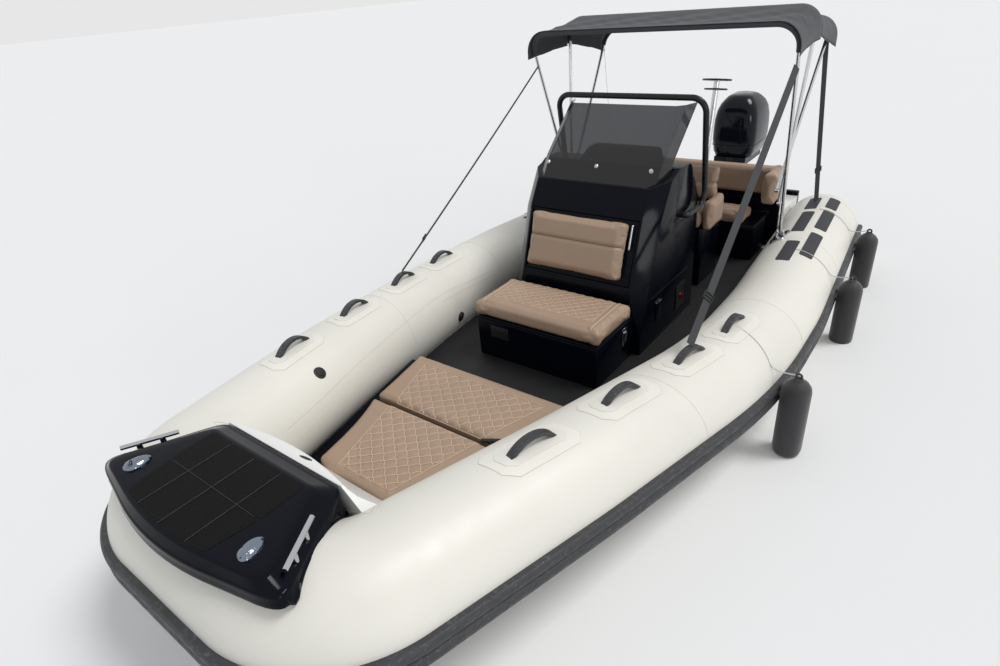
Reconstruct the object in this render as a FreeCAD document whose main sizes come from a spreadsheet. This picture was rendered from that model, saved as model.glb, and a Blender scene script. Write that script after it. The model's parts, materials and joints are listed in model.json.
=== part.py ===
"""Rigid inflatable boat with a console, sun pads, folding canopy and outboard engine.

Frame: +Z up, the bow towards -Y, port towards +X, z = 0 at the waterline, origin on the
centreline amidships. Lengths are millimetres and angles are degrees.
"""
import FreeCAD, Part
import math
import os
import re

import Sketcher

V = FreeCAD.Vector
doc = FreeCAD.newDocument("RibBoat")
sheet = doc.addObject("Spreadsheet::Sheet", "Sizes")

# Driving dimensions: alias, value, what it sizes
SIZES = [
    ("seat_gap", 0.3, "clearance between faces that rest on each other"),
    ("swing_gap", 5, "clearance round pieces that move"),
    ("tube_radius", 290, "inflatable tube, radius"),
    ("bow_front", 2400, "tube centreline at the bow, forward of amidships"),
    ("bow_corner", 550, "tube centreline corner at the bow, half width"),
    ("bow_height", 525, "tube centreline at the bow, height"),
    ("flare_front", 1300, "tube centreline knuckle, forward of amidships"),
    ("flare_half", 830, "tube centreline knuckle, half width"),
    ("flare_height", 455, "tube centreline knuckle, height"),
    ("beam_front", 50, "tube centreline where the sides run fore and aft"),
    ("beam_half", 1090, "tube centreline amidships, half width"),
    ("beam_height", 350, "tube centreline amidships, height"),
    ("quarter_aft", 800, "tube centreline where the stern taper starts"),
    ("quarter_height", 335, "tube centreline at the taper, height"),
    ("stern_aft", 2740, "tube centreline where the end cones start"),
    ("stern_half", 955, "tube centreline at the end cones, half width"),
    ("stern_height", 290, "tube centreline at the end cones, height"),
    ("bow_bend", 330, "bend radius of the tube centreline at the bow corners"),
    ("side_bend", 4200, "bend radius of the tube centreline along the sides"),
    ("cone_length", 330, "end cone"),
    ("cone_nose", 60, "rounded end of the cone"),
    ("cone_end_radius", 165, "end cone, small radius"),
    ("cone_cap_radius", 90, "end cap, radius"),
    ("strake_height", 110, "rubbing strake, height"),
    ("strake_depth", 30, "rubbing strake, how far it stands out"),
    ("deck_level", 225, "cockpit sole"),
    ("transom_top", 475, "transom edge that carries the engine"),
    ("transom_aft", 2930, "aft face of the transom"),
    ("transom_thick", 60, "transom"),
    ("transom_half", 700, "transom, half width"),
    ("keel_depth", 330, "keel below the waterline at the transom"),
    ("handle_length", 250, "grab handle along the tube"),
    ("handle_rise", 58, "grab handle above the tube"),
    ("handle_thick", 17, "grab handle strap, thickness"),
    ("handle_width", 36, "grab handle strap, width"),
    ("plate_front", 2620, "bow step plate, front edge"),
    ("plate_aft", 2100, "bow step plate, aft edge"),
    ("plate_front_half", 585, "bow step plate, half width at its front corners"),
    ("plate_aft_half", 345, "bow step plate, aft half width"),
    ("plate_low", 700, "bow step plate, lower edge of its skirt"),
    ("plate_top", 836, "bow step plate, top of the skirt"),
    ("plate_dome", 34, "raised middle of the bow step plate"),
    ("plate_slope", 55, "sloped border of the raised middle"),
    ("plate_bow", 130, "bow step plate, how far its front corners lie aft of its front edge"),
    ("light_half", 392, "navigation light, distance from the centreline"),
    ("light_front", 2472, "navigation light, forward of amidships"),
    ("light_length", 120, "navigation light"),
    ("light_width", 72, "navigation light, width"),
    ("light_height", 34, "navigation light above the plate"),
    ("cleat_half", 495, "bow cleat, distance from the centreline"),
    ("cleat_front", 2370, "bow cleat, forward of amidships"),
    ("cleat_length", 220, "cleat, horn to horn"),
    ("cleat_radius", 10, "cleat horn, radius"),
    ("cleat_height", 36, "cleat above its base"),
    ("locker_front", 1830, "bow locker, front wall"),
    ("locker_aft", 785, "bow locker, aft wall"),
    ("locker_top", 355, "bow locker, top"),
    ("locker_wall", 12, "bow locker, wall"),
    ("lid_thick", 15, "lids"),
    ("pad_split", 1255, "line between the two sun pads"),
    ("pad_front", 1800, "front sun pad, forward tip"),
    ("pad_aft_half", 560, "aft sun pad, half width at its aft edge"),
    ("pad_split_half", 470, "sun pads, half width at the split"),
    ("pad_front_half", 300, "front sun pad, half width near its tip"),
    ("pad_thick", 70, "sun pads"),
    ("pad_gap", 6, "gap between the two sun pads"),
    ("seat_front", 350, "front seat, forward of amidships"),
    ("seat_base_half", 440, "front seat base, half width"),
    ("seat_base_top", 500, "front seat base, top"),
    ("seat_base_wall", 12, "front seat base, wall"),
    ("seat_lid_aft", 60, "front seat lid, aft edge aft of amidships"),
    ("seat_half", 465, "front seat cushion, half width"),
    ("seat_thick", 99, "front seat cushion"),
    ("seat_cushion_aft", 75, "front seat cushion, aft edge"),
    ("seat_pivot_height", 545, "front seat pivot, height"),
    ("console_front", 125, "console, front wall aft of amidships"),
    ("console_aft", 960, "console, aft wall"),
    ("console_half", 490, "console, half width"),
    ("console_bevel", 85, "bevel between the console's front and sides"),
    ("console_wall", 12, "console, wall"),
    ("console_top", 1300, "console, top of the dash hood"),
    ("door_half", 385, "console door, half width"),
    ("door_thick", 18, "console door"),
    ("door_low", 22, "door's lower edge above the start of the raked face"),
    ("door_high", 425, "door's upper edge along the raked face"),
    ("back_half", 344, "front backrest, half width"),
    ("back_thick", 88, "front backrest"),
    ("back_low", 50, "front backrest, lower edge along the raked face"),
    ("back_high", 412, "front backrest, upper edge along the raked face"),
    ("screen_thick", 6, "windscreen"),
    ("screen_half", 415, "windscreen, half width at its base"),
    ("screen_wing", 150, "windscreen, side wings"),
    ("hoop_radius", 19, "rail round the windscreen, tube radius"),
    ("hoop_half", 530, "rail, half width"),
    ("hoop_top", 1673, "rail, height"),
    ("hoop_bend", 90, "rail, bend radius"),
    ("wheel_radius", 165, "steering wheel"),
    ("wheel_rim", 14, "steering wheel rim, section radius"),
    ("wheel_side", 170, "steering wheel, to starboard of the centreline"),
    ("helm_front", 1250, "helm seat box, front"),
    ("helm_aft", 1640, "helm seat box, aft"),
    ("helm_half", 430, "helm seat box, half width"),
    ("helm_base_top", 690, "helm seat box, top"),
    ("helm_cushion_top", 810, "helm seat cushion, top"),
    ("helm_back_top", 1075, "helm backrest, top"),
    ("helm_back_half", 420, "helm backrest, half width"),
    ("bolster_top", 905, "helm side bolsters, top"),
    ("bench_front", 1900, "rear bench, front"),
    ("bench_half", 620, "rear bench box, half width"),
    ("bench_base_top", 520, "rear bench box, top"),
    ("bench_cushion_top", 615, "rear bench cushion, top"),
    ("bench_cushion_half", 535, "rear bench cushion, half width"),
    ("bench_back_front", 2165, "rear backrest, front face"),
    ("bench_back_aft", 2270, "rear backrest, aft face"),
    ("bench_back_low", 690, "rear backrest, lower edge"),
    ("bench_back_top", 940, "rear backrest, top"),
    ("bench_back_half", 735, "rear backrest, half width"),
    ("bench_wing_front", 1930, "rear backrest, front end of its side wings"),
    ("aft_deck_top", 500, "aft deck between the bench and the transom"),
    ("aft_deck_front", 2310, "front of the engine well"),
    ("pole_aft", 2340, "tow pole, aft of amidships at its foot"),
    ("pole_top_aft", 2535, "tow pole, aft of amidships at its top"),
    ("pole_radius", 24, "tow pole"),
    ("pole_top", 1530, "tow pole, top"),
    ("spool_radius", 120, "tow pole, upper disc"),
    ("spool_low_radius", 95, "tow pole, lower disc"),
    ("spool_gap", 62, "tow pole, space between the discs"),
    ("tilt_back", 45, "engine tilt axis, aft of the transom"),
    ("tilt_height", 500, "engine tilt axis, height"),
    ("tilt_tube_radius", 22, "engine tilt tube"),
    ("steer_back", 100, "engine steering axis, aft of the tilt axis"),
    ("steer_radius", 32, "engine steering tube"),
    ("cowl_lead", 45, "engine cowling's front, forward of the steering axis"),
    ("cowl_length", 580, "engine cowling, fore and aft"),
    ("cowl_half", 205, "engine cowling, half width"),
    ("cowl_low", 745, "engine cowling, lower edge"),
    ("cowl_top", 1295, "engine cowling, top"),
    ("cowl_wall", 8, "engine cowling, wall"),
    ("plate_level", -285, "plate above the propeller"),
    ("prop_level", -455, "propeller axis, height"),
    ("prop_back", 365, "propeller, front of its hub, aft of the steering axis"),
    ("prop_length", 130, "propeller hub"),
    ("prop_radius", 150, "propeller"),
    ("hub_radius", 50, "propeller hub and gear case"),
    ("shaft_radius", 14, "propeller shaft"),
    ("shaft_fit", 0.06, "clearance of a shaft or pin in its bore"),
    ("canopy_tube_radius", 12.5, "canopy bows, tube radius"),
    ("canopy_mount_aft", 1640, "canopy mount, aft of amidships"),
    ("canopy_mount_half", 880, "canopy mount, half width"),
    ("canopy_mount_height", 600, "canopy mount, pivot height"),
    ("canopy_half", 945, "canopy bows, half width at the top"),
    ("canopy_bend", 130, "canopy bows, bend radius"),
    ("canopy_front", 1158, "front bow's top, aft of amidships"),
    ("canopy_front_height", 2040, "front bow's top, height"),
    ("canopy_middle", 1680, "middle bow's top, aft of amidships"),
    ("canopy_middle_height", 2095, "middle bow's top, height"),
    ("canopy_rear", 2250, "rear bow's top, aft of amidships"),
    ("canopy_rear_height", 1985, "rear bow's top, height"),
    ("canopy_thick", 8, "canopy cloth with its sleeves"),
    ("canopy_hem", 200, "how far the cloth hangs down at the sides"),
    ("strap_width", 48, "canopy straps"),
    ("strap_thick", 4, "canopy straps, thickness"),
    ("fender_radius", 75, "fender"),
    ("fender_length", 520, "fender"),
    ("eye_radius", 8, "towing eye bar"),
    ("eye_bend", 26, "towing eye, centreline radius"),
    ("eye_length", 70, "towing eye, how far it stands out"),
]
for row, (alias, value, note) in enumerate(SIZES, start=1):
    sheet.set(f"A{row}", note)
    sheet.set(f"B{row}", str(value))
    sheet.setAlias(f"B{row}", alias)
doc.recompute()
NAMES = {alias for alias, _, _ in SIZES}
S = {alias: float(sheet.get(alias)) for alias in NAMES}


# Helpers for pieces bound to the sheet
def link(expression):
    """An expression in sheet aliases, as other objects of the document write it."""
    return re.sub(r"[a-z_]+", lambda word: "Sizes." + word[0] if word[0] in NAMES else word[0],
                  str(expression))


def number(expression):
    """The value of an expression in sheet aliases."""
    return float(sheet.evalExpression(str(expression)))


def outline_pad(label, plane, points, depth, start="0", middle=False, backwards=False):
    """A PartDesign body: a closed outline on one of its origin planes, padded."""
    body = doc.addObject("PartDesign::Body", label + "_body")
    sketch = body.newObject("Sketcher::SketchObject", label + "_outline")
    origin_plane = next(f for f in body.Origin.OriginFeatures if f.Role == plane + "_Plane")
    sketch.AttachmentSupport = [(origin_plane, "")]
    sketch.MapMode = "FlatFace"
    sketch.setExpression("AttachmentOffset.Base.z", link(start))
    values = [(number(a), number(b)) for a, b in points]
    for index, (a, b) in enumerate(values):
        c, d = values[(index + 1) % len(values)]
        sketch.addGeometry(Part.LineSegment(V(a, b, 0), V(c, d, 0)))
    for index in range(len(values)):
        joint = Sketcher.Constraint("Coincident", index, 2, (index + 1) % len(values), 1)
        sketch.addConstraint(joint)
    for index, pair in enumerate(points):
        for kind, expression in zip(("DistanceX", "DistanceY"), pair):
            rule = Sketcher.Constraint(kind, -1, 1, index, 1, number(expression))
            constraint = sketch.addConstraint(rule)
            sketch.setExpression(f"Constraints[{constraint}]", link(expression))
    pad = body.newObject("PartDesign::Pad", label + "_pad")
    pad.Profile = sketch
    pad.setExpression("Length", link(depth))
    pad.Midplane = middle
    pad.Reversed = backwards
    doc.recompute()
    body.Tip = pad
    return body


def round_edges(body, radius, pick):
    """Rounds the edges of a body's last feature that pick accepts."""
    base = body.Tip
    names = [f"Edge{i}" for i, edge in enumerate(base.Shape.Edges, start=1) if pick(edge)]
    fillet = body.newObject("PartDesign::Fillet", body.Name + "_round")
    fillet.Base = (base, names)
    fillet.setExpression("Radius", link(radius))
    doc.recompute()
    body.Tip = fillet
    return body


def upright(edge):
    """True for an edge that runs along Z."""
    span = edge.Vertexes[-1].Point.sub(edge.Vertexes[0].Point)
    return abs(span.x) + abs(span.y) < 1e-6


def box(label, sizes, corner):
    """A Part::Box whose sides and low corner are expressions."""
    piece = doc.addObject("Part::Box", label)
    for side, expression in zip(("Length", "Width", "Height"), sizes):
        piece.setExpression(side, link(expression))
    for axis, expression in zip("xyz", corner):
        piece.setExpression("Placement.Base." + axis, link(expression))
    return piece


def feature(label, shape):
    """A shape that no ready-made feature gives."""
    piece = doc.addObject("Part::Feature", label)
    piece.Shape = shape
    return piece


# Helpers for free shapes
def polygon_face(points):
    """A face bounded by straight lines."""
    return Part.Face(Part.makePolygon(points + points[:1]))


def prism(points, vector):
    """A polygon swept along a vector."""
    return polygon_face(points).extrude(vector)


def rounded_route(points, bends):
    """Straight runs with a tangent arc at each inner point."""
    edges = []
    start = points[0]
    for before, corner, after, bend in zip(points, points[1:], points[2:], bends):
        come = (corner - before).normalize()
        leave = (after - corner).normalize()
        half_turn = come.getAngle(leave) / 2
        trim = bend * math.tan(half_turn)
        arc_start = corner - come * trim
        arc_end = corner + leave * trim
        inward = (leave - come).normalize()
        middle = corner + inward * (bend / math.cos(half_turn) - bend)
        if (arc_start - start).Length > 1e-6:
            edges.append(Part.LineSegment(start, arc_start).toShape())
        edges.append(Part.Arc(arc_start, middle, arc_end).toShape())
        start = arc_end
    if (points[-1] - start).Length > 1e-6:
        edges.append(Part.LineSegment(start, points[-1]).toShape())
    return Part.Wire(edges)


def pipe(points, bends, radius):
    """A round bar along a route of straight runs and arcs."""
    route = rounded_route(points, bends)
    profile = Part.Circle(points[0], (points[1] - points[0]).normalize(), radius)
    return route.makePipe(Part.Face(Part.Wire(profile.toShape())))


def mirrored(shape):
    """The same shape on the other side of the centreline."""
    return shape.mirror(V(0, 0, 0), V(1, 0, 0))


def both_sides(shape):
    """Port and starboard copies as one compound."""
    return Part.makeCompound([shape, mirrored(shape)])


# Inflatable tube
def tube_points():
    """Tube centreline corners from the starboard stern round the bow to the port stern."""
    port = [V(S["bow_corner"], -S["bow_front"], S["bow_height"]),
            V(S["flare_half"], -S["flare_front"], S["flare_height"]),
            V(S["beam_half"], -S["beam_front"], S["beam_height"]),
            V(S["beam_half"], S["quarter_aft"], S["quarter_height"]),
            V(S["stern_half"], S["stern_aft"], S["stern_height"])]
    starboard = [V(-p.x, p.y, p.z) for p in reversed(port)]
    return starboard + port


TUBE_BENDS = [S["side_bend"]] * 3 + [S["bow_bend"]] * 2 + [S["side_bend"]] * 3


def tube_shape(grow):
    """The tube with its end cones, grown all round by a clearance."""
    points = tube_points()
    radius = S["tube_radius"] + grow
    tube = pipe(points, TUBE_BENDS, radius)
    ends = []
    along = (points[-1] - points[-2]).normalize()
    for side in (1, -1):
        way = V(side * along.x, along.y, along.z)
        start = V(side * points[-1].x, points[-1].y, points[-1].z)
        cone = Part.makeCone(radius, S["cone_end_radius"] + grow, S["cone_length"], start, way)
        nose_start = start + way * S["cone_length"]
        nose = Part.makeCone(S["cone_end_radius"] + grow, S["cone_cap_radius"] + grow,
                             S["cone_nose"], nose_start, way)
        ends += [cone, nose]
    return tube.fuse(ends).removeSplitter()


TUBE_ROUTE = rounded_route(tube_points(), TUBE_BENDS)


def tube_at(y):
    """Centre and heading of the port tube at a given distance aft."""
    found = []
    for place in (y - 1, y, y + 1):
        inner, outer, low, high = 0.18 * S["bow_corner"], 2 * S["beam_half"], -500, 1500
        corners = [V(inner, place, low), V(outer, place, low), V(outer, place, high), V(inner, place, high)]
        slice_face = polygon_face(corners)
        found.append(slice_face.distToShape(TUBE_ROUTE)[1][0][1])
    return found[1], (found[2] - found[0]).normalize()


TUBE = tube_shape(0)
TUBE_CLEAR = tube_shape(S["seat_gap"])
feature("tube", TUBE)


# Rubbing strake: two ridges round the outside of the tube
def strake_shape():
    points = tube_points()
    half = S["strake_height"] / 2
    inner = S["tube_radius"] + S["seat_gap"]
    tip = inner + S["strake_depth"]
    valley = inner + S["strake_depth"] * 0.55
    edge = math.sqrt(inner ** 2 - half ** 2)
    way = (points[1] - points[0]).normalize()
    out = V(0, 0, 1).cross(way).normalize()
    if out.x > 0:
        out = out * -1

    def at(distance, height):
        return points[0] + out * distance + V(0, 0, height)

    outline = [Part.Arc(at(edge, -half), at(inner, 0), at(edge, half)).toShape(),
               Part.LineSegment(at(edge, half), at(valley, half)).toShape(),
               Part.Arc(at(valley, half), at(tip, half * 0.55), at(valley, half * 0.1)).toShape(),
               Part.LineSegment(at(valley, half * 0.1), at(valley, -half * 0.1)).toShape(),
               Part.Arc(at(valley, -half * 0.1), at(tip, -half * 0.55), at(valley, -half)).toShape(),
               Part.LineSegment(at(valley, -half), at(edge, -half)).toShape()]
    sweep = Part.BRepOffsetAPI.MakePipeShell(rounded_route(points, TUBE_BENDS))
    sweep.setBiNormalMode(V(0, 0, 1))
    sweep.add(Part.Wire(outline))
    sweep.build()
    sweep.makeSolid()
    return sweep.shape()


STRAKE = strake_shape()
feature("rub_strake", STRAKE)

# Hull under the deck. Columns: y, keel height, chine half width, chine height, side half width
HULL_STATIONS = [
    (S["transom_aft"], -S["keel_depth"], 830, -40, 900),
    (800, -S["keel_depth"] - 15, 880, -35, 950),
    (-900, -S["keel_depth"] + 10, 700, 35, 790),
    (-1650, -245, 490, 115, 590),
    (-2150, -70, 270, 190, 330),
    (-2400, 90, 120, 215, 150),
]


def hull_shape():
    wires = []
    for y, keel, chine, chine_height, side in HULL_STATIONS:
        top = S["deck_level"]
        corners = [V(0, y, keel), V(chine, y, chine_height), V(side, y, top),
                   V(-side, y, top), V(-chine, y, chine_height)]
        wires.append(Part.makePolygon(corners + corners[:1]))
    return Part.makeLoft(wires, True, True).cut(TUBE_CLEAR)


feature("hull", hull_shape())

# Transom between the tubes, with the engine's seat at its middle
TRANSOM = outline_pad("transom_plate", "XZ", [
    ("-transom_half", "deck_level + seat_gap"), ("transom_half", "deck_level + seat_gap"),
    ("transom_half", "transom_top + 60"), ("transom_half * 0.5", "transom_top + 60"),
    ("transom_half * 0.42", "transom_top"), ("-transom_half * 0.42", "transom_top"),
    ("-transom_half * 0.5", "transom_top + 60"), ("-transom_half", "transom_top + 60")],
    "transom_thick", "-transom_aft")
feature("transom", TRANSOM.Shape.cut(TUBE_CLEAR))


# Aft deck between the bench and the transom, with a shallow well in front of the engine
WELL_HALF = 260
WELL_DEPTH = 45
WELL_FRONT = 130


def aft_deck_shape():
    low = S["deck_level"] + S["seat_gap"]
    aft = S["transom_aft"] - S["transom_thick"] - S["seat_gap"]
    front = S["aft_deck_front"]
    half = S["transom_half"]
    deck = Part.makeBox(2 * half, aft - front, S["aft_deck_top"] - low, V(-half, front, low))
    well = Part.makeBox(2 * WELL_HALF, aft - front, 2 * WELL_DEPTH,
                        V(-WELL_HALF, front + WELL_FRONT, S["aft_deck_top"] - WELL_DEPTH))
    return deck.cut(well).cut(TUBE_CLEAR)


feature("aft_deck", aft_deck_shape())


# Grab handles: arched straps along the top of each tube
HANDLE_PLACES = [-1486, -954, -429, 36]


def handle_shape(y):
    centre, along = tube_at(y)
    reach = S["handle_length"] / 2
    rise = S["handle_rise"]
    radius = (reach ** 2 + rise ** 2) / (2 * rise)
    across = V(0, 0, 1).cross(along).normalize()
    lift = S["tube_radius"] + rise - radius
    middle = centre + V(0, 0, lift) - across * (S["handle_width"] / 2)
    ring = Part.makeCylinder(radius, S["handle_width"], middle, across)
    ring = ring.cut(Part.makeCylinder(radius - S["handle_thick"], S["handle_width"], middle, across))
    top = centre + V(-S["handle_length"], -S["handle_length"], S["tube_radius"] - rise / 2)
    upper = Part.makeBox(2 * S["handle_length"], 2 * S["handle_length"], 2 * rise, top)
    seat_radius = S["tube_radius"] + 3 * S["seat_gap"]
    seat = Part.makeCylinder(seat_radius, 4 * reach, centre - along * 2 * reach, along)
    return ring.common(upper).cut(seat)


PORT_HANDLES = [handle_shape(y) for y in HANDLE_PLACES]
feature("grab_handles_port", Part.makeCompound(PORT_HANDLES))
feature("grab_handles_starboard", Part.makeCompound([mirrored(h) for h in PORT_HANDLES]))


# Bow step plate: a skirted plate over the bow tube with a raised middle
def plate_outline(inset, height):
    """The plate's bowed outline, moved in by the inset, at one height."""
    front = -S["plate_front"] + inset
    aft = -S["plate_aft"] - inset
    wide = S["plate_front_half"] - inset
    slim = S["plate_aft_half"] - inset
    corner = -S["plate_front"] + S["plate_bow"]
    waist = corner + (aft - corner) * 0.38
    port = [V(wide * 0.30, front, height), V(wide * 0.68, front + S["plate_bow"] * 0.24, height),
            V(wide * 0.94, front + S["plate_bow"] * 0.56, height), V(wide, corner, height),
            V(slim + (wide - slim) * 0.60, waist, height), V(slim, aft, height)]
    return port + [V(-p.x, p.y, p.z) for p in reversed(port)]


def bow_step_shape():
    low = S["plate_low"]
    top = S["plate_top"]
    skirt = prism(plate_outline(0, low), V(0, 0, top - low))
    wires = [Part.makePolygon(o + o[:1]) for o in
             (plate_outline(0, top), plate_outline(S["plate_slope"], top + S["plate_dome"]))]
    dome = Part.makeLoft(wires, True, True)
    return skirt.fuse(dome).cut(TUBE_CLEAR).removeSplitter()


STEP = max(bow_step_shape().Solids, key=lambda solid: solid.Volume)
feature("bow_step", STEP)

# Upstand between the plate and the front sun pad
UPSTAND_SIDE = [V(0, -S["plate_aft"] + S["seat_gap"], S["deck_level"] + S["seat_gap"]),
                V(0, -S["locker_front"] - S["seat_gap"], S["deck_level"] + S["seat_gap"]),
                V(0, -S["locker_front"] - S["seat_gap"], S["locker_top"]),
                V(0, -S["locker_front"] - 120, 690), V(0, -S["plate_aft"] + S["seat_gap"], 832)]
UPSTAND_HALF = 430


def upstand_shape():
    """The side outline across the boat, narrowed in plan towards the plate."""
    points = [V(-UPSTAND_HALF, p.y, p.z) for p in UPSTAND_SIDE]
    block = prism(points, V(2 * UPSTAND_HALF, 0, 0))
    front = UPSTAND_SIDE[0]
    aft = UPSTAND_SIDE[1]
    narrow = S["plate_aft_half"] + 15
    plan = prism([V(-narrow, front.y, front.z), V(narrow, front.y, front.z),
                  V(UPSTAND_HALF, aft.y, aft.z), V(-UPSTAND_HALF, aft.y, aft.z)],
                 V(0, 0, S["plate_top"]))
    solids = sorted(block.common(plan).cut(TUBE_CLEAR).Solids, key=lambda solid: solid.Volume)
    return solids[-1]


feature("bow_upstand", upstand_shape())


# Navigation lights and cleats on the plate
def on_plate(half, front):
    """Height of the plate's raised surface at a point."""
    share = min(1, max(0, (S["plate_front"] - front) / S["plate_slope"]))
    edge = S["plate_front_half"] + (S["plate_aft_half"] - S["plate_front_half"]) * (
        S["plate_front"] - front) / (S["plate_front"] - S["plate_aft"])
    share = min(share, max(0, (edge - half) / S["plate_slope"]))
    return S["plate_top"] + S["plate_dome"] * share


def nav_light_shape():
    height = on_plate(S["light_half"], S["light_front"])
    ball = Part.makeSphere(S["light_width"] / 2)
    stretch = FreeCAD.Matrix()
    stretch.scale(1, S["light_length"] / S["light_width"], S["light_height"] * 2 / S["light_width"])
    shell = ball.transformGeometry(stretch)
    shell.translate(V(S["light_half"], -S["light_front"], height - 6))
    return shell.cut(STEP)


feature("nav_lights", both_sides(nav_light_shape()))


def cleat_shape(centre, way, length):
    """Two feet and a horn bar."""
    radius = S["cleat_radius"]
    bar = Part.makeCylinder(radius, length, centre + V(0, 0, S["cleat_height"]) - way * (length / 2), way)
    feet = [Part.makeCylinder(radius * 1.2, S["cleat_height"], centre + way * offset)
            for offset in (-length * 0.2, length * 0.2)]
    return bar.fuse(feet).removeSplitter()


CLEAT_TURN = 30
cleat_way = V(-math.sin(math.radians(CLEAT_TURN)), math.cos(math.radians(CLEAT_TURN)), 0)
cleat_base = V(S["cleat_half"], -S["cleat_front"], S["plate_top"])
BOW_CLEAT = cleat_shape(cleat_base, cleat_way, S["cleat_length"]).cut(STEP)
feature("bow_cleats", both_sides(BOW_CLEAT))


# Bow locker under the sun pads, open below the aft lid
def locker_plan(inset, height):
    aft_half = 640 - inset
    front_half = 420 - inset
    aft = -S["locker_aft"] - inset
    front = -S["locker_front"] + inset
    return [V(aft_half, aft, height), V(-aft_half, aft, height),
            V(-front_half, front, height), V(front_half, front, height)]


def bow_locker_shape():
    low = S["deck_level"] + S["seat_gap"]
    wall = S["locker_wall"]
    tall = S["locker_top"] - low
    outer = prism(locker_plan(0, low), V(0, 0, tall)).cut(TUBE_CLEAR)
    inner = prism(locker_plan(wall, low + wall), V(0, 0, tall - 2 * wall - 3))
    inner = inner.cut(tube_shape(S["seat_gap"] + wall))
    mouth_half = S["pad_split_half"] - 50
    mouth = Part.makeBox(2 * mouth_half, S["pad_split"] - S["locker_aft"] - 90, 4 * wall,
                         V(-mouth_half, -S["pad_split"] + 30, S["locker_top"] - 3 * wall))
    recess = prism(lid_plan(-S["swing_gap"], S["locker_top"] - S["lid_thick"] - S["seat_gap"]),
                   V(0, 0, S["lid_thick"] * 2))
    return outer.cut(inner).cut(mouth).cut(recess)


def lid_plan(inset, height):
    """Plan of the aft pad's lid, from the split to the locker's aft edge."""
    aft_half = S["pad_aft_half"] - 10 - inset
    split_half = S["pad_split_half"] - 10 - inset
    aft = -S["locker_aft"] - 25 - inset
    split = -S["pad_split"] + S["swing_gap"] + inset
    return [V(aft_half, aft, height), V(-aft_half, aft, height),
            V(-split_half, split, height), V(split_half, split, height)]


feature("bow_locker", bow_locker_shape())
LID = prism(lid_plan(0, S["locker_top"] - S["lid_thick"]), V(0, 0, S["lid_thick"]))
feature("sunpad_lid", LID)

# Sun pads
PAD_LOW = "locker_top + seat_gap"
SUNPAD_AFT = outline_pad("sunpad_aft", "XY", [
    ("-pad_aft_half", "-locker_aft"), ("-pad_split_half", "-pad_split + pad_gap / 2"),
    ("pad_split_half", "-pad_split + pad_gap / 2"), ("pad_aft_half", "-locker_aft")],
    "pad_thick", PAD_LOW)
round_edges(SUNPAD_AFT, "pad_thick * 0.3", lambda edge: True)
SUNPAD_FRONT = outline_pad("sunpad_front", "XY", [
    ("-pad_split_half", "-pad_split - pad_gap / 2"), ("-pad_front_half", "-pad_front + 70"),
    ("-pad_front_half + 110", "-pad_front"), ("pad_front_half - 110", "-pad_front"),
    ("pad_front_half", "-pad_front + 70"), ("pad_split_half", "-pad_split - pad_gap / 2")],
    "pad_thick", PAD_LOW)
round_edges(SUNPAD_FRONT, "pad_thick * 0.3", lambda edge: True)
for name, body in (("sunpad_aft", SUNPAD_AFT), ("sunpad_front", SUNPAD_FRONT)):
    body.Label = name


# Front seat: an open box, a lid and a cushion that lift together
def seat_base_shape():
    low = S["deck_level"] + S["seat_gap"]
    wall = S["seat_base_wall"]
    half = S["seat_base_half"]
    aft = S["console_front"] - S["seat_gap"]
    length = aft + S["seat_front"]
    tall = S["seat_base_top"] - low
    outer = Part.makeBox(2 * half, length, tall, V(-half, -S["seat_front"], low))
    inner = Part.makeBox(2 * (half - wall), length - 2 * wall, tall - 2 * wall,
                         V(-half + wall, -S["seat_front"] + wall, low + wall))
    mouth = Part.makeBox(2 * (half - wall), S["seat_lid_aft"] - 20 + S["seat_front"] - wall, 3 * wall,
                         V(-half + wall, -S["seat_front"] + wall, S["seat_base_top"] - 2 * wall))
    return outer.cut(inner).cut(mouth)


feature("front_seat_base", seat_base_shape())
box("front_seat_lid", ("2 * seat_base_half", "seat_front + seat_lid_aft", "lid_thick"),
    ("-seat_base_half", "-seat_front", "seat_base_top + seat_gap"))
SEAT = outline_pad("front_seat_cushion", "XY", [
    ("-seat_half", "-seat_front - 10"), ("seat_half", "-seat_front - 10"),
    ("seat_half", "seat_cushion_aft"), ("-seat_half", "seat_cushion_aft")],
    "seat_thick", "seat_base_top + lid_thick + 2 * seat_gap")
round_edges(SEAT, "seat_thick * 0.28", lambda edge: True)
SEAT.Label = "front_seat_cushion"

# Console. Its side outline: y, z from the lower front corner up and over to the dash
RAKE_LOW = V(0, S["console_front"] + 20, 655)
RAKE_HIGH = V(0, 290, 1073)
BROW = V(0, 388, 1228)
CONSOLE_SIDE = [V(0, S["console_front"], S["deck_level"] + S["seat_gap"]),
                V(0, S["console_front"], 570), RAKE_LOW, RAKE_HIGH, BROW,
                V(0, 560, 1275), V(0, 610, S["console_top"]), V(0, 770, S["console_top"]),
                V(0, 810, 1280), V(0, S["console_aft"], 1030),
                V(0, S["console_aft"], S["deck_level"] + S["seat_gap"])]


def console_block(inset):
    """The console's outside, moved in by a wall's thickness, with long bevels at the raked face."""
    half = S["console_half"] - inset
    outline = Part.makePolygon(CONSOLE_SIDE + CONSOLE_SIDE[:1])
    if inset:
        outline = outline.makeOffset2D(-inset, 2)
    face = Part.Face(outline)
    face.translate(V(-half, 0, 0))
    block = face.extrude(V(2 * half, 0, 0))
    long_edges = []
    for edge in block.Edges:
        middle = edge.CenterOfMass
        on_side = abs(abs(middle.x) - half) < 0.5 and abs(edge.BoundBox.XLength) < 0.5
        if on_side and 640 < middle.z < BROW.z and middle.y < BROW.y:
            long_edges.append(edge)
    return block.makeChamfer(S["console_bevel"] - inset / 2, long_edges)


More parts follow.
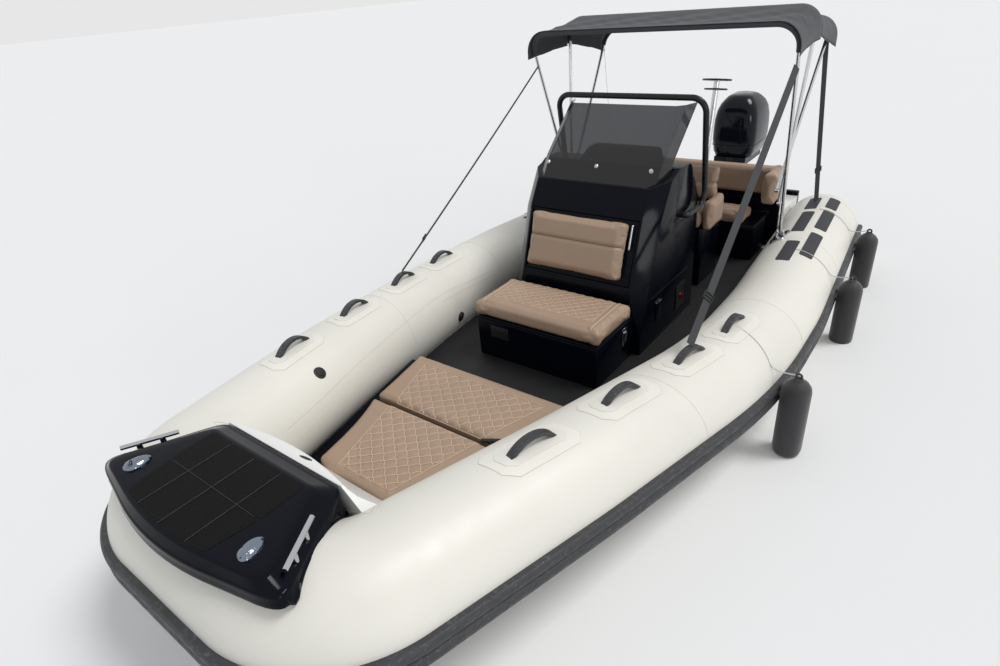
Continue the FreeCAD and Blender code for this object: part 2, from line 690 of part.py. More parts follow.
RAKE_ALONG = (RAKE_HIGH - RAKE_LOW).normalize()
RAKE_OUT = V(0, -RAKE_ALONG.z, RAKE_ALONG.y)
HINGE_RADIUS = 7
HINGE_SIDE = -(S["door_half"] + S["swing_gap"] / 2)
HINGE_PIN = 3.5
HINGE_LEAF = 14
LEAF_THICK = 3
KNUCKLE = 90


def on_rake(side, along, out):
    """A point of the raked face: to port, up along the face and out from it."""
    return RAKE_LOW + V(side, 0, 0) + RAKE_ALONG * along + RAKE_OUT * out


def raked_slab(left, right, low, high, inner, outer):
    """A slab along the raked face between two sides, two heights and two distances out."""
    corners = [on_rake(left, low, inner), on_rake(left, high, inner),
               on_rake(left, high, outer), on_rake(left, low, outer)]
    return prism(corners, V(right - left, 0, 0))


def knuckle(low, high, leaf_side):
    """A hinge barrel with its leaf to one side."""
    barrel = Part.makeCylinder(HINGE_RADIUS, high - low, on_rake(HINGE_SIDE, low, HINGE_RADIUS), RAKE_ALONG)
    sides = sorted((HINGE_SIDE, HINGE_SIDE + leaf_side * HINGE_LEAF))
    return barrel.fuse(raked_slab(sides[0], sides[1], low, high, 0, LEAF_THICK))


def hinge_pin(radius):
    low = S["door_low"] + 10
    length = S["door_high"] - S["door_low"] - 20
    return Part.makeCylinder(radius, length, on_rake(HINGE_SIDE, low, HINGE_RADIUS), RAKE_ALONG)


def console_shape():
    wall = S["console_wall"]
    shell = console_block(0).cut(console_block(wall))
    gap = S["swing_gap"]
    half = S["door_half"] + gap
    hole = raked_slab(-half, half, S["door_low"] - gap, S["door_high"] + gap, -60, 40)
    low = S["door_low"] + 10
    high = S["door_high"] - 10
    ends = [knuckle(low, low + KNUCKLE, -1), knuckle(high - KNUCKLE, high, -1)]
    return shell.cut(hole).fuse(ends).cut(hinge_pin(HINGE_PIN + S["shaft_fit"]))


feature("console", console_shape())


# Console door with the front backrest on it
def console_door_shape():
    half = S["door_half"]
    slab = raked_slab(-half, half, S["door_low"], S["door_high"], -S["door_thick"], 0)
    low = S["door_low"] + 10 + KNUCKLE + S["swing_gap"]
    high = S["door_high"] - 10 - KNUCKLE - S["swing_gap"]
    return slab.fuse([knuckle(low, high, 1), hinge_pin(HINGE_PIN)]).removeSplitter()


feature("console_door", console_door_shape())
BACKREST = raked_slab(-S["back_half"], S["back_half"], S["back_low"], S["back_high"], S["seat_gap"],
                      S["seat_gap"] + S["back_thick"])
feature("front_backrest", BACKREST.makeFillet(S["back_thick"] * 0.28, BACKREST.Edges))


def door_handle_shape():
    side = S["door_half"] - 20
    gap = S["seat_gap"]
    points = [on_rake(side, 250, gap), on_rake(side, 250, 35),
              on_rake(side, 400, 35), on_rake(side, 400, gap)]
    return pipe(points, [12, 12], 6)


feature("door_handle", door_handle_shape())


# Windscreen: a raked front panel with wings that run aft
def screen_plan(inset, centre):
    """Half-round cornered plan of the screen at its base, as a closed loop of corners."""
    half = S["screen_half"] - inset
    wing = S["screen_wing"]
    return [V(-half - 30, centre.y + wing, centre.z), V(-half, centre.y + 45 + inset, centre.z),
            V(-half + 45, centre.y + inset, centre.z), V(half - 45, centre.y + inset, centre.z),
            V(half, centre.y + 45 + inset, centre.z), V(half + 30, centre.y + wing, centre.z)]


def windscreen_shape():
    base = BROW + V(0, 8, 0)
    bend = V(0, 474, 1344)
    top = V(0, 805, 1632)
    thick = S["screen_thick"]
    layers = []
    for level in (base, bend, top):
        outer = screen_plan(0, level)
        inner = screen_plan(thick, level)
        ring = outer + list(reversed(inner))
        layers.append(Part.makePolygon(ring + ring[:1]))
    seat = console_block(0)
    seat.translate(V(0, 0, S["seat_gap"]))
    return Part.makeLoft(layers, True, True).cut(seat)


feature("windscreen", windscreen_shape())


# Rail round the windscreen
def hoop_shape():
    half = S["hoop_half"]
    top = V(half, 867, S["hoop_top"])
    low = V(half, 975, 985)
    turn = V(half - 8, 700, 985)
    foot = V(S["console_half"] + S["seat_gap"], turn.y, turn.z)
    port = [foot, turn, low, top]
    points = port + [V(-p.x, p.y, p.z) for p in reversed(port)]
    bends = [S["hoop_radius"] + 2, S["hoop_bend"], S["hoop_bend"]]
    return pipe(points, bends + list(reversed(bends)), S["hoop_radius"])


feature("screen_hoop", hoop_shape())

# Steering wheel on the raked dash
DASH_LOW = V(0, S["console_aft"], 1030)
DASH_HIGH = V(0, 810, 1280)
DASH_ALONG = (DASH_HIGH - DASH_LOW).normalize()
DASH_OUT = V(0, DASH_ALONG.z, -DASH_ALONG.y)
STEM_LENGTH = 95
WHEEL_FOOT = V(-S["wheel_side"], 0, 0) + DASH_LOW + DASH_ALONG * 95
WHEEL_CENTRE = WHEEL_FOOT + DASH_OUT * STEM_LENGTH


def steering_wheel_shape():
    rim = Part.makeTorus(S["wheel_radius"], S["wheel_rim"], WHEEL_CENTRE, DASH_OUT)
    hub = Part.makeCylinder(32, 36, WHEEL_CENTRE - DASH_OUT * 18, DASH_OUT)
    stem = Part.makeCylinder(16, STEM_LENGTH - S["seat_gap"], WHEEL_FOOT + DASH_OUT * S["seat_gap"], DASH_OUT)
    spokes = []
    for turn in (90, 210, 330):
        spoke = Part.makeBox(S["wheel_radius"], 26, 8, V(0, -13, -4))
        place = FreeCAD.Placement(WHEEL_CENTRE, FreeCAD.Rotation(V(0, 0, 1), DASH_OUT))
        spoke.rotate(V(0, 0, 0), V(0, 0, 1), turn)
        spoke.Placement = place.multiply(spoke.Placement)
        spokes.append(spoke)
    return rim.fuse([hub, stem] + spokes).removeSplitter()


feature("steering_wheel", steering_wheel_shape())


def throttle_shape():
    foot = WHEEL_FOOT + V(2 * S["wheel_side"] + 60, 0, 0) + DASH_OUT * S["seat_gap"]
    place = FreeCAD.Placement(foot, FreeCAD.Rotation(V(0, 0, 1), DASH_OUT))
    base = Part.makeBox(70, 130, 50, V(-35, -65, 0))
    lever = Part.makeCylinder(9, 150, V(0, 0, 40), V(0.15, 0.45, 1))
    knob = Part.makeCylinder(15, 90, V(-25, 62, 165), V(1, 0, 0))
    shape = base.fuse([lever, knob]).removeSplitter()
    shape.Placement = place
    return shape


feature("throttle", throttle_shape())

# Helm seat: a box, a cushion with side bolsters and a two-tier backrest
HELM_BASE = outline_pad("helm_seat_base", "XY", [
    ("-helm_half", "helm_front"), ("helm_half", "helm_front"),
    ("helm_half", "helm_aft"), ("-helm_half", "helm_aft")],
    "helm_base_top - deck_level - seat_gap", "deck_level + seat_gap")
round_edges(HELM_BASE, "30", upright)
HELM_BASE.Label = "helm_seat_base"
HELM_CUSHION = outline_pad("helm_cushion", "XY", [
    ("-helm_back_half", "helm_front - 20"), ("helm_back_half", "helm_front - 20"),
    ("helm_back_half", "helm_aft - 100"), ("-helm_back_half", "helm_aft - 100")],
    "helm_cushion_top - helm_base_top - seat_gap", "helm_base_top + seat_gap")
round_edges(HELM_CUSHION, "30", lambda edge: True)
HELM_CUSHION.Label = "helm_seat_cushion"


def helm_bolster_shape():
    low = S["helm_base_top"] - 10
    length = S["helm_aft"] - S["helm_front"] - 120
    start = V(S["helm_back_half"] + S["seat_gap"], S["helm_front"] - 10, low)
    roll = Part.makeBox(75, length, S["bolster_top"] - low, start)
    return roll.makeFillet(28, roll.Edges)


HELM_BOLSTER = helm_bolster_shape().cut(HELM_BASE.Shape)
feature("helm_seat_bolsters", both_sides(HELM_BOLSTER))


# Two pads on a frame. Columns: distance of the pad's aft face from the frame, low edge, high edge
POST_FRONT = S["helm_aft"] - 31
PAD_THICK = 85
HELM_PADS = [
    (14, S["helm_cushion_top"] + 5, S["helm_cushion_top"] + 135),
    (4, S["helm_cushion_top"] + 137, S["helm_back_top"]),
]


def helm_backrest_shape():
    half = S["helm_back_half"]
    pads = []
    for stand, low, high in HELM_PADS:
        front = POST_FRONT - stand - PAD_THICK
        pad = Part.makeBox(2 * half, PAD_THICK, high - low, V(-half, front, low))
        pads.append(pad.makeFillet(24, pad.Edges))
    return Part.makeCompound(pads)


feature("helm_backrest", helm_backrest_shape())


def helm_frame_shape():
    half = S["helm_back_half"] - 60
    low = S["helm_base_top"] + S["seat_gap"]
    top = S["helm_back_top"] - 60
    frame = Part.makeBox(2 * half, 12, top - low, V(-half, POST_FRONT, low))
    for stand, pad_low, pad_high in HELM_PADS:
        front = POST_FRONT - stand + S["seat_gap"]
        high = min(pad_high - 30, top)
        rib = Part.makeBox(2 * half, POST_FRONT - front, high - pad_low - 30, V(-half, front, pad_low + 30))
        frame = frame.fuse(rib)
    return frame.removeSplitter()


feature("helm_seat_frame", helm_frame_shape())


# Rear bench
def bench_base_shape():
    low = S["deck_level"] + S["seat_gap"]
    half = S["bench_half"]
    aft = S["aft_deck_front"] - S["seat_gap"]
    length = aft - S["bench_front"]
    seat = Part.makeBox(2 * half, length, S["bench_base_top"] - low, V(-half, S["bench_front"], low))
    back_top = S["bench_back_top"] - 70
    back_half = S["transom_half"]
    back = Part.makeBox(2 * back_half, aft - S["bench_back_aft"] - S["seat_gap"], back_top - low,
                        V(-back_half, S["bench_back_aft"] + S["seat_gap"], low))
    return seat.fuse(back).cut(TUBE_CLEAR).removeSplitter()


feature("bench_base", bench_base_shape())
BENCH = outline_pad("bench_cushion", "XY", [
    ("-bench_cushion_half", "bench_front - 15"), ("bench_cushion_half", "bench_front - 15"),
    ("bench_cushion_half", "bench_back_front - 30"), ("-bench_cushion_half", "bench_back_front - 30")],
    "bench_cushion_top - bench_base_top - seat_gap", "bench_base_top + seat_gap")
round_edges(BENCH, "28", lambda edge: True)
BENCH.Label = "bench_cushion"


def bench_back_shape():
    """A back roll whose ends turn forward along the tubes."""
    half = S["bench_back_half"]
    thick = S["bench_back_aft"] - S["bench_back_front"]
    low = S["bench_back_low"]
    plan = [V(half, S["bench_wing_front"], low), V(half, S["bench_back_aft"] - 60, low),
            V(half - 60, S["bench_back_aft"], low), V(-half + 60, S["bench_back_aft"], low),
            V(-half, S["bench_back_aft"] - 60, low), V(-half, S["bench_wing_front"], low),
            V(-half + thick, S["bench_wing_front"], low), V(-half + thick, S["bench_back_front"], low),
            V(half - thick, S["bench_back_front"], low), V(half - thick, S["bench_wing_front"], low)]
    roll = prism(plan, V(0, 0, S["bench_back_top"] - low))
    level = [edge for edge in roll.Edges if not upright(edge)]
    return roll.makeFillet(26, level)


BENCH_BACK = bench_back_shape()
feature("bench_backrest", BENCH_BACK)


# Tow pole that leans aft, with two discs square to it
POLE_FOOT = V(0, S["pole_aft"], S["aft_deck_top"] + S["seat_gap"])
POLE_TIP = V(0, S["pole_top_aft"], S["pole_top"])
POLE_ALONG = (POLE_TIP - POLE_FOOT).normalize()
POLE_PLATE = 14
SPOOL_THICK = 12


def tow_pole_shape():
    base = Part.makeBox(180, 130, POLE_PLATE, POLE_FOOT - V(90, S["pole_radius"], 0))
    bury = POLE_ALONG * S["pole_radius"]
    length = (POLE_TIP - POLE_FOOT).Length
    post = Part.makeCylinder(S["pole_radius"], length + 2 * S["pole_radius"], POLE_FOOT - bury * 2, POLE_ALONG)
    below = Part.makeBox(400, 400, 200, POLE_FOOT - V(200, 200, 200))
    above = Part.makeCylinder(S["spool_radius"], 200, POLE_TIP, POLE_ALONG)
    upper = Part.makeCylinder(S["spool_radius"], SPOOL_THICK, POLE_TIP - POLE_ALONG * SPOOL_THICK, POLE_ALONG)
    lower_start = POLE_TIP - POLE_ALONG * (2 * SPOOL_THICK + S["spool_gap"])
    lower = Part.makeCylinder(S["spool_low_radius"], SPOOL_THICK, lower_start, POLE_ALONG)
    return post.cut(below).cut(above).fuse([base, upper, lower]).removeSplitter()


feature("tow_pole", tow_pole_shape())

# Engine bracket: two ears clamped over the transom, with the tilt tube between them
EAR_HALF = 150
EAR_THICK = 22
TILT_AFT = S["transom_aft"] + S["tilt_back"]
STEER_AFT = TILT_AFT + S["steer_back"]


def engine_bracket_shape():
    gap = S["seat_gap"]
    aft = S["transom_aft"] + gap
    front = S["transom_aft"] - S["transom_thick"] - gap
    top = S["transom_top"] + gap
    ears = []
    for side in (1, -1):
        x = side * EAR_HALF - EAR_THICK / 2
        clamp = S["aft_deck_top"] - WELL_DEPTH + 3
        profile = [V(x, aft, 120), V(x, aft, top), V(x, front, top), V(x, front, clamp),
                   V(x, front - 22, clamp), V(x, front - 22, top + 40),
                   V(x, TILT_AFT, S["tilt_height"] + 45),
                   V(x, TILT_AFT + 40, S["tilt_height"] + 20),
                   V(x, TILT_AFT + 30, 330), V(x, aft + 30, 120)]
        ear = prism(profile, V(EAR_THICK, 0, 0))
        bore = Part.makeCylinder(S["tilt_tube_radius"] + S["shaft_fit"], EAR_THICK + 2,
                                 V(x - 1, TILT_AFT, S["tilt_height"]), V(1, 0, 0))
        ears.append(ear.cut(bore))
    plate = Part.makeBox(2 * EAR_HALF, 12, 150, V(-EAR_HALF, aft, 140))
    return ears[0].fuse([ears[1], plate]).removeSplitter()


feature("engine_bracket", engine_bracket_shape())


# Swivel: tilt tube, arms and the steering sleeve
def engine_swivel_shape():
    inside = EAR_HALF - EAR_THICK / 2 - S["swing_gap"]
    tube = Part.makeCylinder(S["tilt_tube_radius"], 2 * (EAR_HALF + EAR_THICK / 2 + 6),
                             V(-EAR_HALF - EAR_THICK / 2 - 6, TILT_AFT, S["tilt_height"]), V(1, 0, 0))
    sleeve_low = 120
    sleeve_top = 640
    sleeve = Part.makeCylinder(S["steer_radius"] + 20, sleeve_top - sleeve_low,
                               V(0, STEER_AFT, sleeve_low))
    bore = Part.makeCylinder(S["steer_radius"] + S["shaft_fit"], sleeve_top - sleeve_low,
                             V(0, STEER_AFT, sleeve_low))
    arm_low = S["tilt_height"] - 30
    arm = Part.makeBox(2 * inside, STEER_AFT - TILT_AFT, 60,
                       V(-inside, TILT_AFT, arm_low))
    return tube.fuse([sleeve, arm]).cut(bore).removeSplitter()


feature("engine_swivel", engine_swivel_shape())


SHAFT_IN = 60
PROP_AFT = STEER_AFT + S["prop_back"]


# Engine leg: steering shaft, housing, plate, gear case and skeg
def engine_leg_shape():
    steer = STEER_AFT
    shaft_low = 60
    shaft_top = S["cowl_low"] - S["seat_gap"]
    shaft = Part.makeCylinder(S["steer_radius"], shaft_top - shaft_low, V(0, steer, shaft_low))
    tray_low = 680
    tray = Part.makeBox(300, 470, S["cowl_low"] - S["seat_gap"] - tray_low, V(-150, steer - 20, tray_low))
    rear = steer + S["steer_radius"] + 30
    layers = []
    for z, front, aft, half in ((700, rear, rear + 300, 105), (300, rear, rear + 210, 75),
                                (0, rear - 5, rear + 180, 60), (S["plate_level"], rear, rear + 190, 48)):
        corners = [V(0, front, z), V(half, front + 60, z), V(half * 0.7, aft - 40, z), V(0, aft, z),
                   V(-half * 0.7, aft - 40, z), V(-half, front + 60, z)]
        layers.append(Part.makePolygon(corners + corners[:1]))
    housing = Part.makeLoft(layers, True, True)
    yokes = [Part.makeBox(110, 110, 44, V(-55, steer - 20, 650)),
             Part.makeBox(96, 110, 44, V(-48, steer - 20, 66))]
    plate = prism([V(-70, rear + 20, S["plate_level"] - 8), V(-125, rear + 170, S["plate_level"] - 8),
                   V(-115, rear + 400, S["plate_level"] - 8), V(115, rear + 400, S["plate_level"] - 8),
                   V(125, rear + 170, S["plate_level"] - 8), V(70, rear + 20, S["plate_level"] - 8)],
                  V(0, 0, 14))
    case_start = rear - 60
    case_length = PROP_AFT - 3 - case_start
    hub = S["hub_radius"]
    case = Part.makeCylinder(hub, case_length, V(0, case_start, S["prop_level"]), V(0, 1, 0))
    bore = Part.makeCylinder(S["shaft_radius"] + S["shaft_fit"], SHAFT_IN + S["seat_gap"],
                             V(0, PROP_AFT - 3 - SHAFT_IN - S["seat_gap"], S["prop_level"]), V(0, 1, 0))
    nose = Part.makeCone(10, hub, 110, V(0, case_start - 110, S["prop_level"]), V(0, 1, 0))
    strut = prism([V(-18, rear + 20, S["plate_level"]), V(-18, rear + 185, S["plate_level"]),
                   V(-18, rear + 215, S["prop_level"]), V(-18, rear - 30, S["prop_level"])], V(36, 0, 0))
    skeg = prism([V(-6, rear - 20, S["prop_level"]), V(-6, rear + 210, S["prop_level"]),
                  V(-6, rear + 200, -660), V(-6, rear + 110, -660)], V(12, 0, 0))
    leg = shaft.fuse([tray, housing, plate, case, nose, strut, skeg] + yokes)
    return leg.cut(bore).removeSplitter()


feature("engine_leg", engine_leg_shape())


# Cowling: rounded rectangles stacked from the tray to the top, hollow
def cowl_ring(front, aft, half, z, corner):
    """A rectangle with round corners, as a wire of lines and arcs."""
    low_x, high_x = -half, half
    points = [V(low_x, front, z), V(high_x, front, z), V(high_x, aft, z), V(low_x, aft, z)]
    face = polygon_face(points)
    block = face.extrude(V(0, 0, 1))
    block = block.makeFillet(corner, [edge for edge in block.Edges if upright(edge)])
    base = min(block.Faces, key=lambda f: f.CenterOfMass.z)
    return base.OuterWire


# Columns: share of the height, front and aft insets, side inset, corner radius
COWL_LAYERS = [(0.0, 45, 60, 30, 90), (0.28, 5, 10, 0, 110), (0.62, 0, 0, 5, 120),
               (0.86, 40, 60, 40, 110), (1.0, 120, 190, 105, 90)]


COWL_FRONT = STEER_AFT - S["cowl_lead"]


def cowl_block(inset):
    tall = S["cowl_top"] - S["cowl_low"] - inset
    rings = []
    for share, front, aft, side, corner in COWL_LAYERS:
        rings.append(cowl_ring(COWL_FRONT + front + inset, COWL_FRONT + S["cowl_length"] - aft - inset,
                               S["cowl_half"] - side - inset, S["cowl_low"] + tall * share,
                               corner - inset / 2))
    return Part.makeLoft(rings, True, True)


feature("engine_cowling", cowl_block(0).cut(cowl_block(S["cowl_wall"])))
box("powerhead", ("240", "360", "360"), ("-120", "transom_aft + tilt_back + steer_back - cowl_lead + 110", "cowl_low"))


# Propeller: hub and three raked blades
def propeller_shape():
    level = S["prop_level"]
    start = PROP_AFT
    hub = Part.makeCylinder(S["hub_radius"], S["prop_length"], V(0, start, level), V(0, 1, 0))
    shaft = Part.makeCylinder(S["shaft_radius"], SHAFT_IN + S["prop_length"] + 25,
                              V(0, start - SHAFT_IN, level), V(0, 1, 0))
    blades = []
    for turn in (0, 120, 240):
        blade = prism([V(20, 10, -4), V(110, -12, -4), V(S["prop_radius"], 25, -4),
                       V(S["prop_radius"] - 10, 75, -4), V(110, 105, -4), V(20, 90, -4)], V(0, 0, 8))
        blade.translate(V(0, -50, 0))
        blade.rotate(V(0, 0, 0), V(1, 0, 0), 28)
        blade.translate(V(0, 50 + start + 12, level))
        blade.rotate(V(0, start, level), V(0, 1, 0), turn)
        blades.append(blade)
    return hub.fuse([shaft] + blades).removeSplitter()


feature("propeller", propeller_shape())

# Canopy frame: three bows. Each row: foot y, foot z, top y, top z, half width at foot and top
MOUNT = V(0, S["canopy_mount_aft"], S["canopy_mount_height"])
FRONT_TOP = V(0, S["canopy_front"], S["canopy_front_height"])
MIDDLE_TOP = V(0, S["canopy_middle"], S["canopy_middle_height"])
REAR_TOP = V(0, S["canopy_rear"], S["canopy_rear_height"])
FRONT_ALONG = (FRONT_TOP - MOUNT).normalize()
BOW_STEP = 2 * S["canopy_tube_radius"] + S["swing_gap"]
MIDDLE_UP = 260
REAR_UP = 90
MIDDLE_FOOT = MOUNT + FRONT_ALONG * MIDDLE_UP
MIDDLE_ALONG = (MIDDLE_TOP - MIDDLE_FOOT).normalize()
REAR_FOOT = MIDDLE_FOOT + MIDDLE_ALONG * REAR_UP
EYE_RADIUS = 15
EYE_HALF = 11
PIN_RADIUS = 5


def half_at(distance, inward):
    """Half width of a bow's leg at a distance up from the mount."""
    full = (FRONT_TOP - MOUNT).Length
    spread = S["canopy_half"] - S["canopy_mount_half"]
    return S["canopy_mount_half"] + spread * distance / full - inward


def x_bar(radius, low, high, foot):
    """A round bar along X through a bow's foot."""
    return Part.makeCylinder(radius, high - low, V(low, foot.y, foot.z), V(1, 0, 0))


def bow_shape(foot, top, distance, inward, grow=0):
    """An upside-down U of tube, from one foot over the top to the other."""
    foot_half = half_at(distance, inward)
    top_half = S["canopy_half"] - inward
    port = [V(foot_half, foot.y, foot.z), V(top_half, top.y, top.z)]
    points = port + [V(-p.x, p.y, p.z) for p in reversed(port)]
    return pipe(points, [S["canopy_bend"]] * 2, S["canopy_tube_radius"] + grow)


def pivoted(bow, foot, half, pin_out):
    """A bow with an eye at each foot and a pin that runs outboard from it."""
    eye = x_bar(EYE_RADIUS, half - EYE_HALF, half + EYE_HALF, foot)
    pin = x_bar(PIN_RADIUS, half, half + pin_out, foot)
    return bow.fuse([eye, mirrored(eye), pin, mirrored(pin)])


def drilled(bow, foot, half):
    """A bow with a bore in each leg for the next bow's pin."""
    reach = S["canopy_tube_radius"] + EYE_HALF + S["swing_gap"]
    bore = x_bar(PIN_RADIUS + S["shaft_fit"], half - reach, half + 1, foot)
    return bow.cut(bore).cut(mirrored(bore))


FORK_CLEAR = S["canopy_tube_radius"] + S["swing_gap"]
FORK_CHEEK = 8
FRONT_HALF = half_at(0, 0)
MIDDLE_HALF = half_at(MIDDLE_UP, BOW_STEP)
REAR_HALF = half_at(MIDDLE_UP + REAR_UP, 2 * BOW_STEP)
FRONT_BOW = bow_shape(MOUNT, FRONT_TOP, 0, 0)
MIDDLE_BOW = bow_shape(MIDDLE_FOOT, MIDDLE_TOP, MIDDLE_UP, BOW_STEP)
REAR_BOW = bow_shape(REAR_FOOT, REAR_TOP, MIDDLE_UP + REAR_UP, 2 * BOW_STEP)
FRONT_BOW = pivoted(FRONT_BOW, MOUNT, FRONT_HALF, FORK_CLEAR + FORK_CHEEK)
FRONT_BOW = FRONT_BOW.fuse([x_bar(PIN_RADIUS, side * FRONT_HALF - (FORK_CLEAR + FORK_CHEEK),
                                  side * FRONT_HALF + FORK_CLEAR, MOUNT) for side in (1, -1)])
MIDDLE_BOW = pivoted(MIDDLE_BOW, MIDDLE_FOOT, MIDDLE_HALF, BOW_STEP)
REAR_BOW = pivoted(REAR_BOW, REAR_FOOT, REAR_HALF, BOW_STEP)
feature("canopy_bow_front", drilled(FRONT_BOW, MIDDLE_FOOT, half_at(MIDDLE_UP, 0)))
feature("canopy_bow_middle", drilled(MIDDLE_BOW, REAR_FOOT, half_at(MIDDLE_UP + REAR_UP, BOW_STEP)))
feature("canopy_bow_rear", REAR_BOW)


# Canopy cloth: a roof and two side flaps over each pair of bows
def canopy_panel(start, end):
    """A closed thin shell between two bows, just outside their tubes."""
    lift = S["canopy_tube_radius"] + S["seat_gap"]
    thick = S["canopy_thick"]
    half = S["canopy_half"] + lift
    hem = S["canopy_hem"]
    bend = S["canopy_bend"]
    wires = []
    for top in (start, end):
        z = top.z + lift
        outer = [V(half + thick, top.y, z - hem), V(half + thick, top.y, z - bend * 0.6),
                 V(half - bend * 0.6, top.y, z + thick), V(-half + bend * 0.6, top.y, z + thick),
                 V(-half - thick, top.y, z - bend * 0.6), V(-half - thick, top.y, z - hem)]
        inner = [V(-half, top.y, z - hem), V(-half, top.y, z - bend * 0.6),
                 V(-half + bend * 0.6, top.y, z), V(half - bend * 0.6, top.y, z),
                 V(half, top.y, z - bend * 0.6), V(half, top.y, z - hem)]
        wires.append(Part.makePolygon(outer + inner + outer[:1]))
    return Part.makeLoft(wires, True, True)


CLOTH_GAP = V(0, S["seat_gap"], 0)
feature("canopy_front_panel", canopy_panel(FRONT_TOP - V(0, 18, 0), MIDDLE_TOP - CLOTH_GAP))
feature("canopy_rear_panel", canopy_panel(MIDDLE_TOP + CLOTH_GAP, REAR_TOP + V(0, 18, 0)))


# Canopy mounts: base plates on the tubes' inner shoulders with a fork each
def canopy_mount_shape():
    centre, along = tube_at(MOUNT.y)
    inner = S["canopy_mount_half"]
    radius = S["tube_radius"]
    lean = math.degrees(math.asin((centre.x - inner) / (radius + 8)))
    plate = Part.makeBox(110, 190, 24, V(-55, -95, -14))
    plate = plate.makeFillet(20, [edge for edge in plate.Edges if upright(edge)])
    plate.rotate(V(0, 0, 0), V(0, 1, 0), -lean)
    out = V(-math.sin(math.radians(lean)), 0, math.cos(math.radians(lean)))
    plate.translate(V(centre.x, MOUNT.y, centre.z) + out * radius)
    plate = plate.cut(TUBE_CLEAR)
    foot = V(inner, MOUNT.y, MOUNT.z - 50)
    outer = FORK_CLEAR + FORK_CHEEK
    cheeks = [Part.makeBox(FORK_CHEEK, 44, 66, V(foot.x + x, foot.y - 22, foot.z))
              for x in (-outer, FORK_CLEAR)]
    sole = Part.makeBox(2 * outer, 44, 14, V(foot.x - outer, foot.y - 22, foot.z))
    bore = x_bar(PIN_RADIUS + S["shaft_fit"], inner - outer - 1, inner + outer + 1, MOUNT)
    return plate.fuse(cheeks + [sole]).cut(bore).cut(TUBE_CLEAR).removeSplitter()


feature("canopy_mounts", both_sides(canopy_mount_shape()))


# Canopy straps: taut webbing to the tubes
def strap_shape(top, low):
    """Flat webbing between two points, its width level across the run."""
    way = low - top
    across = V(0, 0, 1).cross(way).normalize() * (S["strap_width"] / 2)
    normal = way.cross(across).normalize() * S["strap_thick"]
    points = [top - across, top + across, top + across + normal, top - across + normal]
    return prism(points, way)


def leg_point(foot, top, foot_half, top_half, share):
    """A point on the centreline of a port leg."""
    return V(foot_half + (top_half - foot_half) * share, foot.y, foot.z) + V(
        0, top.y - foot.y, top.z - foot.z) * share


HANDLE_CENTRE, _ = tube_at(HANDLE_PLACES[2])
FRONT_HOLD = leg_point(MOUNT, FRONT_TOP, FRONT_HALF, S["canopy_half"], 0.84)
FRONT_LOW = HANDLE_CENTRE + V(0, 0, S["tube_radius"] + S["handle_rise"] - S["handle_thick"] / 2)
FRONT_STRAP = strap_shape(FRONT_HOLD, FRONT_LOW)
FRONT_STRAP = FRONT_STRAP.cut(bow_shape(MOUNT, FRONT_TOP, 0, 0, S["seat_gap"])).cut(PORT_HANDLES[2])
FRONT_STRAP = max(FRONT_STRAP.Solids, key=lambda solid: solid.Volume)
feature("canopy_straps_front", both_sides(FRONT_STRAP))
REAR_CENTRE, _ = tube_at(S["stern_aft"] - 260)
REAR_HOLD = leg_point(REAR_FOOT, REAR_TOP, REAR_HALF, S["canopy_half"] - 2 * BOW_STEP, 0.88)
REAR_STRAP = strap_shape(REAR_HOLD, REAR_CENTRE + V(-40, 0, S["tube_radius"] - 20))
REAR_GROWN = bow_shape(REAR_FOOT, REAR_TOP, MIDDLE_UP + REAR_UP, 2 * BOW_STEP, S["seat_gap"])
REAR_STRAP = REAR_STRAP.cut(REAR_GROWN).cut(TUBE_CLEAR)
REAR_STRAP = max(REAR_STRAP.Solids, key=lambda solid: solid.Volume)
feature("canopy_straps_rear", both_sides(REAR_STRAP))


# Towing eyes: one on the stem and two on the transom
def eye_shape(centre, way):
    """A U of bar that stands out along a horizontal way, its legs one above the other."""
    bend = S["eye_bend"]
    rise = V(0, 0, bend)
    out = way * S["eye_length"]
    points = [centre - rise, centre - rise + out, centre + rise + out, centre + rise]
    return pipe(points, [bend * 0.98] * 2, S["eye_radius"])


STERN_EYE = eye_shape(V(560, S["transom_aft"] + S["seat_gap"], 330), V(0, 1, 0))
HULL = hull_shape()
STEM = V(0, HULL_STATIONS[-1][0], HULL_STATIONS[-1][1])
BOW_EYE = eye_shape(STEM + V(0, 25, -15), V(0, -1, 0)).cut(HULL)
BOW_EYE = max(BOW_EYE.Solids, key=lambda solid: -solid.BoundBox.YMin)
feature("towing_eyes", Part.makeCompound([BOW_EYE, STERN_EYE, mirrored(STERN_EYE)]))


# Fenders: three on the port side, each against the strake. Columns: y, top height
FENDERS = [(-60, 480), (S["quarter_aft"] + 530, 460), (S["stern_aft"] - 440, 450)]
STAND_OFF = 20


def fender_shape(y, top):
    centre, _ = tube_at(y)
    radius = S["fender_radius"]
    x = centre.x + S["tube_radius"] + S["strake_depth"] + STAND_OFF + radius
    length = S["fender_length"] - 2 * radius * 0.6
    low = top - S["fender_length"] + radius * 0.6
    body = Part.makeCylinder(radius, length, V(x, y, low))
    ends = [Part.makeCone(radius * 0.35, radius, radius * 0.6, V(x, y, low - radius * 0.6)),
            Part.makeCone(radius, radius * 0.35, radius * 0.6, V(x, y, low + length))]
    fender = body.fuse(ends).removeSplitter()
    fender.translate(V(S["seat_gap"] - fender.distToShape(STRAKE)[0], 0, 0))
    return fender


feature("fenders", Part.makeCompound([fender_shape(y, top) for y, top in FENDERS]))

